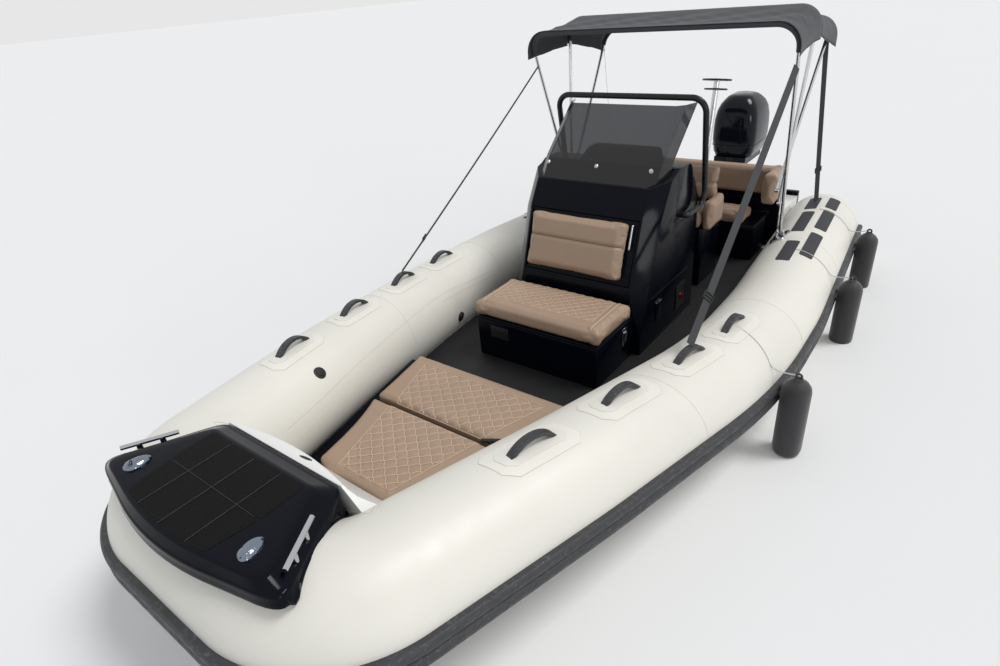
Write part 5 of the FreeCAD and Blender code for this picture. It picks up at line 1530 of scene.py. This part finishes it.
def bolt(bm, foot, out, radius=0.006, tall=0.004):
    """A domed bolt head on its washer."""
    rod(bm, foot, foot + out * tall * 0.35, radius * 1.5)
    rod(bm, foot + out * tall * 0.3, foot + out * tall, radius, radius * 0.6, 16)


class RIBBOAT_OT_front_seat(bpy.types.Operator):
    """Upholster the front seat and its backrest"""
    bl_idname = "ribboat.front_seat"
    bl_label = "Front seat"

    def execute(self, context):
        eased("front_seat_base", dark_gelcoat(), 0.010)
        eased("front_seat_lid", dark_gelcoat(), 0.005)
        node = "front_seat_cushion"
        tree = quilted(node, "front_seat", SEAT_QUILT, SEAT_CELL, stitch=0.0022, voxel=0.009, cap=0.012,
                       moulding=lambda bm: corners_drawn_in(bm, SEAT_ROUND, SEAT_CORNER))
        low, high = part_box(node)
        count = round((high.y - low.y - 0.06) / 0.01)
        ends = [[(side * (high.x - 0.072), low.y + 0.03 + i * 0.01) for i in range(count)]
                for side in (1, -1)]
        beads("front_seat_seams", laid_on(tree, ends, STITCH_LIFT), 0.0030, piping(),
              BODIES[node], SLOTS[node])
        self.backrest()
        self.latches()
        return {"FINISHED"}

    def backrest(self):
        """The backrest on the door, with one sewn channel across it."""
        node = "front_backrest"
        low, high = BACKREST_ALONG
        seam = high - 0.42 * (high - low)

        def channel(bm):
            for vert in bm.verts:
                if vert.normal.dot(RAKE_OUT) < 0.5:
                    continue
                along = (vert.co - RAKE_LOW).dot(RAKE_ALONG)
                near = math.exp(-((along - seam) / 0.011) ** 2)
                vert.co -= RAKE_OUT * 0.011 * near
            corners_drawn_in(bm, BACKREST_ROUND, BACKREST_CORNER, RAKE_LOW, RAKE_ALONG)

        tree = surface(cushion(node, upholstery(), voxel=0.008, cap=0.012, shape=channel))
        across = []
        for i in range(61):
            start = rake_point(-0.321 + 0.0107 * i, seam, 0.3)
            place, normal, _, _ = tree.ray_cast(start, -RAKE_OUT)
            across.append(place + normal * STITCH_LIFT)
        # A bead of painted shade along the bottom of the sewn channel.
        beads("backrest_seam_shade", [across], 0.0020, seam_shadow(), BODIES[node], SLOTS[node])

    def latches(self):
        """The latch on the side and the louvre in the front."""
        bm = bmesh.new()
        for low, high in SEAT_LATCH:
            block(bm, low, high)
        ease(bm, 0.003)
        finished(bm, "seat_latch", polished_steel(), slot="polished_steel")
        bm = bmesh.new()
        block(bm, *LOUVRE_FRAME)
        for row in range(LOUVRE_SLATS):
            low = LOUVRE_LOW + row * LOUVRE_STEP
            block(bm, (-0.318, -0.3600, low), (-0.202, -0.3540, low + 0.005))
        ease(bm, 0.0015)
        finished(bm, "seat_louvre", black_plastic(), slot="black_plastic")


# The console
CONSOLE_SIDE_X = 0.4902
# The hatch and the switch's recess on the port side. Columns: from y, to y, from z, to z
HATCH = (0.335, 0.420, 0.380, 0.500)
SWITCH = (0.672, 0.812, 0.305, 0.480)
# Raised lines on the port side, from and to. Columns: y, z, y, z
SIDE_LINES = [(0.42, 0.957, 0.80, 0.945), (0.253, 0.568, 0.846, 0.560), (0.150, 0.245, 0.955, 0.245)]
# The hood over the dash: its outlines below and above, with their heights
HOOD_LOW = [(-0.235, 0.600), (0.330, 0.600), (0.330, 0.775), (-0.235, 0.775)]
HOOD_HIGH = [(-0.165, 0.640), (0.300, 0.640), (0.300, 0.770), (-0.165, 0.770)]
HOOD_LEVELS = (1.285, 1.392)


class RIBBOAT_OT_console(bpy.types.Operator):
    """Finish the console with its door, handle, hatch and switch"""
    bl_idname = "ribboat.console"
    bl_label = "Console"

    def execute(self, context):
        eased("console", dark_gelcoat(), 0.016, 4, 14)
        eased("console_door", dark_gelcoat(), 0.006, 3)
        kept("door_handle", polished_steel())
        self.hood()
        x = CONSOLE_SIDE_X
        lines = [along_line((x, y0, z0), (x, y1, z1), 0.03) for y0, z0, y1, z1 in SIDE_LINES]
        beads("console_mouldings", lines, 0.0028, dark_gelcoat(), slot="black_gelcoat")
        bm = bmesh.new()
        y0, y1, z0, z1 = HATCH
        block(bm, (x, y0, z0), (x + 0.007, y1, z1))
        ease(bm, 0.004)
        finished(bm, "console_hatch", dark_gelcoat(), slot="black_gelcoat")
        bm = bmesh.new()
        block(bm, (x, y0 + 0.006, z1 - 0.002), (x + 0.012, y1 - 0.006, z1 + 0.009))
        ease(bm, 0.002)
        finished(bm, "hatch_edge", polished_steel(), slot="polished_steel")
        self.switch(x)
        return {"FINISHED"}

    def hood(self):
        """The raised hood over the dash, behind the screen."""
        bm = bmesh.new()
        base = [bm.verts.new((x, y, HOOD_LEVELS[0])) for x, y in HOOD_LOW]
        top = [bm.verts.new((x, y, HOOD_LEVELS[1])) for x, y in HOOD_HIGH]
        bm.faces.new(list(reversed(base)))
        bm.faces.new(top)
        for i in range(4):
            after = (i + 1) % 4
            bm.faces.new([base[i], base[after], top[after], top[i]])
        ease(bm, 0.022, 4)
        finished(bm, "dash_hood", black_plastic(), slot="black_plastic")

    def switch(self, x):
        """The battery's turning switch in its recess."""
        y0, y1, z0, z1 = SWITCH
        bm = bmesh.new()
        block(bm, (x, y0, z0), (x + 0.005, y1, z1))
        bm.faces.ensure_lookup_table()
        face = max(bm.faces, key=lambda f: f.calc_center_median().x)
        bmesh.ops.inset_region(bm, faces=[face], thickness=0.012, depth=0)
        bmesh.ops.translate(bm, vec=(-0.0035, 0, 0), verts=face.verts)
        ease(bm, 0.0015)
        finished(bm, "switch_recess", black_plastic(), slot="black_plastic")
        centre = Vector((x + 0.001, (y0 + y1) / 2, (z0 + z1) / 2))
        bm = bmesh.new()
        rod(bm, centre, centre + Vector((0.010, 0, 0)), 0.016, 0.014)
        block(bm, centre + Vector((0.008, -0.0045, -0.018)), centre + Vector((0.020, 0.0045, 0.018)))
        ease(bm, 0.0025)
        finished(bm, "switch_key", red_plastic(), slot="black_plastic")


# The windscreen, with bolts along its foot: places across, and how far up they sit
SCREEN_BOLTS = (-0.362, 0.0, 0.372)
BOLTS_UP = 0.088


class RIBBOAT_OT_windscreen(bpy.types.Operator):
    """Glaze the windscreen and finish its rail"""
    bl_idname = "ribboat.windscreen"
    bl_label = "Windscreen"

    def execute(self, context):
        kept("windscreen", smoked_acrylic())
        kept("screen_hoop", black_coat())
        low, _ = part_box("windscreen")
        tree = surface(NODES["windscreen"])
        bm = bmesh.new()
        for x in SCREEN_BOLTS:
            place, out, _, _ = tree.ray_cast(Vector((x, -0.5, low.z + BOLTS_UP)), Vector((0, 1, 0)))
            if out.y > 0:
                out = -out
            bolt(bm, place, out, 0.009, 0.006)
        finished(bm, "screen_bolts", polished_steel(), slot="polished_steel")
        return {"FINISHED"}


# The helm
HELM_QUILT = [(-0.33, 1.262), (0.33, 1.262), (0.33, 1.470), (-0.33, 1.470)]
HELM_CELL = (0.070, 0.062)
# The display on the dash: its middle across and up
DISPLAY = (0.035, 0.150)
# Blank gauges on the dash: places across, and the place up it
GAUGES = (-0.335, -0.245, -0.155)
GAUGES_UP = 0.235
TICKS = 9
ROCKERS = 6


class RIBBOAT_OT_helm(bpy.types.Operator):
    """Fit the wheel, throttle, blank gauges and the helm seat"""
    bl_idname = "ribboat.helm"
    bl_label = "Helm"

    def execute(self, context):
        kept("steering_wheel", black_plastic())
        kept("throttle", black_plastic())
        self.dash()
        eased("helm_seat_base", dark_gelcoat(), 0.010)
        eased("helm_seat_frame", black_coat(), 0.003)
        quilted("helm_seat_cushion", "helm", HELM_QUILT, HELM_CELL, stitch=0.0020, voxel=0.010, cap=0.012,
                crown=0.03)
        cushion("helm_seat_bolsters", upholstery(), voxel=0.009, cap=0.010)
        cushion("helm_backrest", upholstery(), voxel=0.009, cap=0.011)
        return {"FINISHED"}

    def dash(self):
        """A blank display, three blank gauges and a row of rockers on the dash."""
        bm = bmesh.new()
        turn = Matrix.Translation(dash_point(*DISPLAY, 0)) @ DASH_TURN
        block(bm, (-0.115, -0.075, 0.0002), (0.115, 0.075, 0.014), turn)
        ease(bm, 0.005)
        finished(bm, "display_case", black_plastic(), slot="black_plastic")
        bm = bmesh.new()
        block(bm, (-0.100, -0.060, 0.013), (0.100, 0.060, 0.0155), turn)
        ease(bm, 0.001)
        finished(bm, "display_glass", dark_glass(), slot="smoked_screen")
        rims = bmesh.new()
        faces = bmesh.new()
        marks = bmesh.new()
        for x in GAUGES:
            place = (x, GAUGES_UP)
            rod(rims, dash_point(*place, 0.0002), dash_point(*place, 0.009), 0.036, 0.034, 32)
            rod(faces, dash_point(*place, 0.008), dash_point(*place, 0.0105), 0.0305, sides=32)
            for tick in range(TICKS):
                angle = math.radians(-120 + tick * 30)
                way = Vector((math.sin(angle), math.cos(angle)))
                ends = [dash_point(x + way.x * reach, GAUGES_UP + way.y * reach, 0.0108)
                        for reach in (0.024, 0.028)]
                rod(marks, *ends, 0.0006, sides=6)
        ease(rims, 0.0015)
        finished(rims, "gauge_rims", polished_steel(), slot="polished_steel")
        finished(faces, "gauge_faces", dark_glass(), slot="smoked_screen")
        finished(marks, "gauge_marks", pale_mark(), slot="black_plastic")
        bm = bmesh.new()
        for i in range(ROCKERS):
            turn = Matrix.Translation(dash_point(-0.075 + i * 0.044, 0.040, 0)) @ DASH_TURN
            block(bm, (-0.012, -0.020, 0.0002), (0.012, 0.020, 0.006), turn)
            block(bm, (-0.009, -0.016, 0.005), (0.009, 0.016, 0.0095), turn @ Matrix.Rotation(0.10, 4, "X"))
        ease(bm, 0.0015)
        finished(bm, "rocker_switches", black_plastic(), slot="black_plastic")


# The bench
BENCH_QUILT = [(-0.46, 1.935), (0.46, 1.935), (0.46, 2.115), (-0.46, 2.115)]
BENCH_CELL = (0.072, 0.064)


class RIBBOAT_OT_bench(bpy.types.Operator):
    """Upholster the rear bench"""
    bl_idname = "ribboat.bench"
    bl_label = "Rear bench"

    def execute(self, context):
        eased("bench_base", dark_gelcoat(), 0.010)
        quilted("bench_cushion", "bench", BENCH_QUILT, BENCH_CELL, stitch=0.0020, voxel=0.010, cap=0.011,
                crown=0.03)
        cushion("bench_backrest", upholstery(), voxel=0.011, cap=0.012)
        return {"FINISHED"}


# The tow pole
POLE_FOOT = Vector((0, 2.340, 0.500))
POLE_TIP = Vector((0, 2.535, 1.530))
# The pole's discs. Columns: how far below the tip, radius
POLE_DISCS = [(0.006, 0.1212), (0.080, 0.0962)]
POLE_BOLTS = [(x, y, 0.5142) for x in (-0.072, 0.072) for y in (2.334, 2.426)]


class RIBBOAT_OT_tow_pole(bpy.types.Operator):
    """Finish the tow pole and bolt down its foot"""
    bl_idname = "ribboat.tow_pole"
    bl_label = "Tow pole"

    def execute(self, context):
        kept("tow_pole", brushed_tube())
        bm = bmesh.new()
        way = (POLE_TIP - POLE_FOOT).normalized()
        for drop, radius in POLE_DISCS:
            middle = POLE_TIP - way * drop
            rod(bm, middle - way * 0.0066, middle + way * 0.0066, radius, sides=48)
        ease(bm, 0.003)
        finished(bm, "pole_discs", black_coat(), slot="black_tube")
        bm = bmesh.new()
        for place in POLE_BOLTS:
            bolt(bm, Vector(place), Vector((0, 0, 1)), 0.008, 0.007)
        finished(bm, "pole_bolts", polished_steel(), slot="polished_steel")
        return {"FINISHED"}


# The engine. Cowling rings: height share, front inset, aft inset, side inset, corner
COWL_FRONT = 3.030
COWL_LONG = 0.580
COWL_HALF = 0.205
COWL_LOW = 0.745
COWL_TOP = 1.295
COWL_RINGS = [(0.0, 0.045, 0.060, 0.030, 0.085), (0.05, 0.036, 0.050, 0.024, 0.090),
              (0.07, 0.030, 0.040, 0.016, 0.092), (0.28, 0.006, 0.010, 0.001, 0.110),
              (0.45, 0.001, 0.003, 0.001, 0.116), (0.62, 0.003, 0.006, 0.006, 0.118),
              (0.76, 0.018, 0.026, 0.020, 0.115), (0.86, 0.042, 0.062, 0.042, 0.108),
              (0.93, 0.078, 0.112, 0.070, 0.098), (0.975, 0.104, 0.158, 0.093, 0.086),
              (1.0, 0.135, 0.205, 0.122, 0.070)]


class RIBBOAT_OT_engine(bpy.types.Operator):
    """Finish the outboard engine, its bracket and propeller"""
    bl_idname = "ribboat.engine"
    bl_label = "Engine"

    def execute(self, context):
        eased("engine_bracket", engine_satin(), 0.004)
        kept("engine_swivel", engine_satin())
        kept("engine_leg", engine_satin())
        kept("powerhead", black_plastic())
        kept("propeller", cast_metal())
        self.cowling()
        return {"FINISHED"}

    def cowling(self):
        """The cowling bridged through its rings, with the line where its hood lifts off."""
        node = "engine_cowling"
        bm = bmesh.new()
        rings = []
        for share, front, aft, side, corner in COWL_RINGS:
            long = COWL_LONG - front - aft
            plan = round_outline(2 * (COWL_HALF - side), long, min(corner, long / 2 - 0.01), 6)
            middle = COWL_FRONT + front + long / 2
            level = COWL_LOW + (COWL_TOP - COWL_LOW) * share
            verts = [bm.verts.new((x, middle + y, level)) for x, y in plan]
            rings.append([bm.edges.new((a, b)) for a, b in zip(verts, verts[1:] + verts[:1])])
        for one, other in zip(rings, rings[1:]):
            bmesh.ops.bridge_loops(bm, edges=one + other)
        bmesh.ops.holes_fill(bm, edges=bm.edges, sides=200)
        ease(bm, 0.006, 3, 40)
        piece = finished(bm, "cowling_moulded", engine_gloss(), BODIES[node], SLOTS[node], 50)
        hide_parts("engine_cowling")
        long = COWL_LONG - 0.010
        plan = round_outline(2 * COWL_HALF - 0.001, long, 0.112, 6)
        line = [Vector((x, COWL_FRONT + 0.003 + long / 2 + y, COWL_LOW + 0.105)) for x, y in plan]
        beads("cowling_line", [line], 0.0022, black_plastic(), BODIES[node], SLOTS[node], closed=True)


# The canopy: the tops of its bows, the places where their port legs start, and its cloth
BOW_RADIUS = 0.0125
FRONT_TOP = Vector((0, 1.158, 2.040))
MIDDLE_TOP = Vector((0, 1.680, 2.095))
REAR_TOP = Vector((0, 2.250, 1.985))
MOUNT_PLACE = Vector((0.880, 1.640, 0.600))
MIDDLE_FOOT = Vector((0.861, 1.5575, 0.84656))
REAR_FOOT = Vector((0.83498, 1.56629, 0.93613))
CANOPY_HALF = 0.945
CANOPY_BEND = 0.130
CANOPY_HEM = 0.200
BOW_STEP_IN = 0.030
BOW_HALVES = (CANOPY_HALF, CANOPY_HALF - BOW_STEP_IN, CANOPY_HALF - 2 * BOW_STEP_IN)
STRAP_FACE = Vector((0.80, -0.55, 0.30))
STRAP_WIDE = 0.047
STRAP_THICK = 0.0018
STRAP_SAG = 0.010
BUCKLE_UP = 0.30


def canopy_profile(half, bend, across):
    """Across the canopy: how far to the side, and the drop, at a distance from the middle."""
    flat = half - bend
    side = 1 if across >= 0 else -1
    reach = abs(across)
    if reach <= flat:
        return side * reach, 0.0
    turn = (reach - flat) / bend
    if turn <= math.pi / 2:
        return side * (flat + bend * math.sin(turn)), bend * (1 - math.cos(turn))
    down = reach - flat - bend * math.pi / 2
    return side * half, bend + down


def canopy_sheet(name, start, end, half_start, half_end, lift, sag):
    """A cloth roof between two bows, with its sides hanging down."""
    thick = sizes().cloth_thick
    bend = CANOPY_BEND + 0.012
    across = (half_start + half_end) / 2 - bend + bend * math.pi / 2 + (CANOPY_HEM - bend)
    long = (end - start).length
    bm = flat_sheet([(-across, 0), (across, 0), (across, long), (-across, long)], 0.03)
    for vert in bm.verts:
        share = vert.co.y / long
        half = half_start + (half_end - half_start) * share
        x, drop = canopy_profile(half, bend, vert.co.x)
        hang = max(0, drop - bend) / (CANOPY_HEM - bend)
        level = thick * vert.co.z
        dip = sag * 4 * share * (1 - share)
        top = 1 - min(1, drop / bend)
        outward = Vector((1 if x > 0 else -1, 0, 0))
        way = Vector((0, 0, 1)) * top + outward * (1 - top)
        fold = math.sin((vert.co.x - (share - 0.5) * 0.9) * 15 + 0.8)
        fold += 0.6 * math.sin((vert.co.x + (share - 0.5) * 1.3) * 27 + 2.1)
        ripple = 0.0050 * fold * math.sin(math.pi * share) * (0.35 + 0.65 * top)
        scallop = 0.012 * 4 * share * (1 - share) * hang
        place = start + (end - start) * share
        vert.co = Vector((x, place.y, place.z + lift - drop - dip * (0.25 + 0.75 * top) + ripple + scallop))
        vert.co += way.normalized() * level - outward * dip * 0.5 * (1 - top)
    bmesh.ops.recalc_face_normals(bm, faces=bm.faces)
    mesh = bpy.data.meshes.new(name)
    bm.to_mesh(mesh)
    bm.free()
    piece = bpy.data.objects.new(name, mesh)
    bpy.context.scene.collection.objects.link(piece)
    mesh.materials.append(canopy_cloth())
    mesh.shade_smooth()
    return piece, 2 * across, long


def leg_place(foot, top, top_half, share):
    """A place on a port leg of a bow."""
    return foot + (Vector((top_half, top.y, top.z)) - foot) * share


def strap(name, start, end, face, finish):
    """Flat webbing between two places, its face turned a given way."""
    long = (end - start).length
    way = (end - start).normalized()
    side = way.cross(face).normalized()
    out = side.cross(way).normalized()
    half = STRAP_WIDE / 2
    bm = flat_sheet([(-half, 0), (half, 0), (half, long), (-half, long)], 0.02)
    for vert in bm.verts:
        share = vert.co.y / long
        dip = STRAP_SAG * 4 * share * (1 - share)
        vert.co = (start + way * vert.co.y + side * vert.co.x + out * STRAP_THICK * (vert.co.z - 0.5)
                   - Vector((0, 0, dip)))
    return finished(bm, name, finish, "root", "grey_webbing", 40, tidy=False)


class RIBBOAT_OT_canopy(bpy.types.Operator):
    """Stretch the canopy cloth over its bows and hang its straps"""
    bl_idname = "ribboat.canopy"
    bl_label = "Canopy"

    def execute(self, context):
        size = sizes()
        for node in ("canopy_bow_front", "canopy_bow_middle", "canopy_bow_rear", "canopy_mounts"):
            kept(node, brushed_tube())
        lift = BOW_RADIUS + 0.0030
        halves = [half + lift + 0.012 * i for i, half in enumerate(BOW_HALVES)]
        front, wide, long = canopy_sheet("canopy_front_cloth", FRONT_TOP - Vector((0, 0.016, 0)), MIDDLE_TOP,
                                         halves[0], halves[1], lift, size.cloth_sag * 0.7)
        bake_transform(front)
        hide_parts("canopy_front_panel")
        rear, wide, long = canopy_sheet("canopy_rear_cloth", MIDDLE_TOP, REAR_TOP + Vector((0, 0.016, 0)),
                                        halves[1], halves[2], lift, size.cloth_sag)
        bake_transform(rear)
        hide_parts("canopy_rear_panel")
        self.sleeves()
        self.straps()
        return {"FINISHED"}

    def sleeves(self):
        """Cloth pockets sewn round the tops of the bows."""
        names = ("front", "middle", "rear")
        tops = (FRONT_TOP, MIDDLE_TOP, REAR_TOP)
        feet = (MOUNT_PLACE, MIDDLE_FOOT, REAR_FOOT)
        for name, top, half, foot in zip(names, tops, BOW_HALVES, feet):
            start = leg_place(foot, top, half, 1 - 0.19 / (top - foot).length)
            points = [start, Vector((half, top.y, top.z)), Vector((-half, top.y, top.z)),
                      Vector((-start.x, start.y, start.z))]
            line = rounded_line(points, [CANOPY_BEND, CANOPY_BEND], 0.02)
            beads(f"canopy_sleeve_{name}", [line], BOW_RADIUS + 0.0042, canopy_cloth(), "canopy_" + name,
                  "canopy_cloth", sides=4)

    def straps(self):
        """Webbing from the bows down to the handles and the stern, with its buckles."""
        front_hold = leg_place(MOUNT_PLACE, FRONT_TOP, BOW_HALVES[0], 0.84)
        front_low = tube_centre(HANDLE_PLACES[2]) + Vector((0, 0, TUBE_RADIUS + 0.062))
        rear_hold = leg_place(REAR_FOOT, REAR_TOP, BOW_HALVES[2], 0.88)
        rear_low = tube_centre(2.480) + Vector((-0.040, 0, 0.288))
        for side, name in ((1, "port"), (-1, "starboard")):
            flip = Vector((side, 1, 1))
            for part, high, low, node in (("front", front_hold, front_low, "canopy_straps_front"),
                                          ("rear", rear_hold, rear_low, "canopy_straps_rear")):
                finish = grey_webbing() if part == "front" else black_webbing()
                start = high * flip
                end = low * flip
                way = (end - start).normalized()
                piece = strap(f"canopy_strap_{part}_{name}", start + way * 0.016, end - way * 0.012,
                              STRAP_FACE * flip, finish)
                if side > 0:
                    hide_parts(node)
                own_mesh(piece)
                self.buckle(f"canopy_buckle_{part}_{name}", end - way * BUCKLE_UP, way, side)

    def buckle(self, name, place, way, side):
        """A slider on a strap."""
        across = way.cross(STRAP_FACE * Vector((side, 1, 1))).normalized()
        turn = Matrix.Translation(place) @ turned_axes(across, way)
        bm = bmesh.new()
        for low, high in ((-0.022, -0.016), (-0.003, 0.003), (0.016, 0.022)):
            block(bm, (-0.031, low, -0.004), (0.031, high, 0.004), turn)
        for low, high in ((-0.032, -0.026), (0.026, 0.032)):
            block(bm, (low, -0.022, -0.004), (high, 0.022, 0.004), turn)
        ease(bm, 0.0012)
        piece = finished(bm, name, black_plastic(), slot="black_plastic")
        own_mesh(piece)


# Fenders
# Columns: distance aft, height of the top, distance aft of the line's hold on the tube
FENDER_ROWS = [(-0.06, 0.480, 0.036), (1.33, 0.460, 1.33), (2.30, 0.450, 2.30)]
FENDER_LONG = 0.520
FENDER_RADIUS = 0.075
# The fender's shape from its foot to its top: share of its length, share of its radius
FENDER_RINGS = [(0.0, 0.30), (0.015, 0.36), (0.03, 0.50), (0.055, 0.72), (0.10, 0.93), (0.15, 1.0),
                (0.85, 1.0), (0.90, 0.93), (0.945, 0.72), (0.97, 0.50), (0.985, 0.36), (1.0, 0.30)]
# Angles outboard from the tube's top that a fender's line passes
LINE_ANGLES = (1.15, 0.95, 0.75, 0.55, 0.35, 0.18, 0.05)


class RIBBOAT_OT_fenders(bpy.types.Operator):
    """Finish the fenders and hang them on their lines"""
    bl_idname = "ribboat.fenders"
    bl_label = "Fenders"

    def execute(self, context):
        for number, (y, top, hold) in enumerate(FENDER_ROWS):
            x = self.middle(y)
            bm = bmesh.new()
            rings = []
            for share, wide in FENDER_RINGS:
                level = top - FENDER_LONG * (1 - share)
                made = bmesh.ops.create_circle(bm, cap_ends=False, segments=40, radius=FENDER_RADIUS * wide,
                                               matrix=Matrix.Translation((x, y, level)))
                rings.append(list({edge for vert in made["verts"] for edge in vert.link_edges}))
            for one, other in zip(rings, rings[1:]):
                bmesh.ops.bridge_loops(bm, edges=one + other)
            bmesh.ops.holes_fill(bm, edges=bm.edges, sides=200)
            piece = finished(bm, f"fender_{number}", fender_skin(), slot="fender_skin", crease=50)
            if number == 0:
                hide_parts("fenders")
            bm = bmesh.new()
            eye = Vector((x, y, top + 0.012))
            ring(bm, eye, Vector((0, 1, 0)), 0.014, 0.006, 24, 8)
            finished(bm, f"fender_eye_{number}", fender_skin(), slot="fender_skin")
            self.line(number, eye, y, hold)
        return {"FINISHED"}

    def middle(self, y):
        """The middle of the fender's solid at a distance aft."""
        near = [vert.co.x for vert in NODES["fenders"].data.vertices if abs(vert.co.y - y) < 0.09]
        return (min(near) + max(near)) / 2

    def line(self, number, eye, y, hold):
        """A line from the fender's eye up over the tube."""
        radius = sizes().line_thick
        points = [eye + Vector((0, 0, 0.006))]
        for angle in LINE_ANGLES:
            share = (LINE_ANGLES[0] - angle) / 1.1
            points.append(on_tube(y + (hold - y) * share, angle, radius * 1.1))
        beads(f"fender_line_{number}", [points], radius, pale_line(), slot="fender_skin", smooth=True)


# Panel and registration
STEPS = (RIBBOAT_OT_stage, RIBBOAT_OT_tube, RIBBOAT_OT_hull, RIBBOAT_OT_bow_step, RIBBOAT_OT_sun_pads,
         RIBBOAT_OT_front_seat, RIBBOAT_OT_console, RIBBOAT_OT_windscreen, RIBBOAT_OT_helm,
         RIBBOAT_OT_bench, RIBBOAT_OT_tow_pole, RIBBOAT_OT_engine, RIBBOAT_OT_canopy,
         RIBBOAT_OT_fenders)


class RIBBOAT_PT_panel(bpy.types.Panel):
    """Lists the steps that dress the boat"""
    bl_idname = "RIBBOAT_PT_panel"
    bl_label = "Rib boat"
    bl_space_type = "VIEW_3D"
    bl_region_type = "UI"
    bl_category = "Rib boat"

    def draw(self, context):
        for step in STEPS:
            self.layout.operator(step.bl_idname)


CLASSES = (RibBoatSizes, RibBoatColours, *STEPS, RIBBOAT_PT_panel)


def register():
    for item in CLASSES:
        bpy.utils.register_class(item)
    bpy.types.Scene.rib_boat_sizes = PointerProperty(type=RibBoatSizes)
    bpy.types.Scene.rib_boat_colours = PointerProperty(type=RibBoatColours)


def unregister():
    del bpy.types.Scene.rib_boat_colours
    del bpy.types.Scene.rib_boat_sizes
    for item in reversed(CLASSES):
        bpy.utils.unregister_class(item)


def main():
    register()
    for step in STEPS:
        group, name = step.bl_idname.split(".")
        getattr(getattr(bpy.ops, group), name)()


if __name__ == "__main__":
    main()
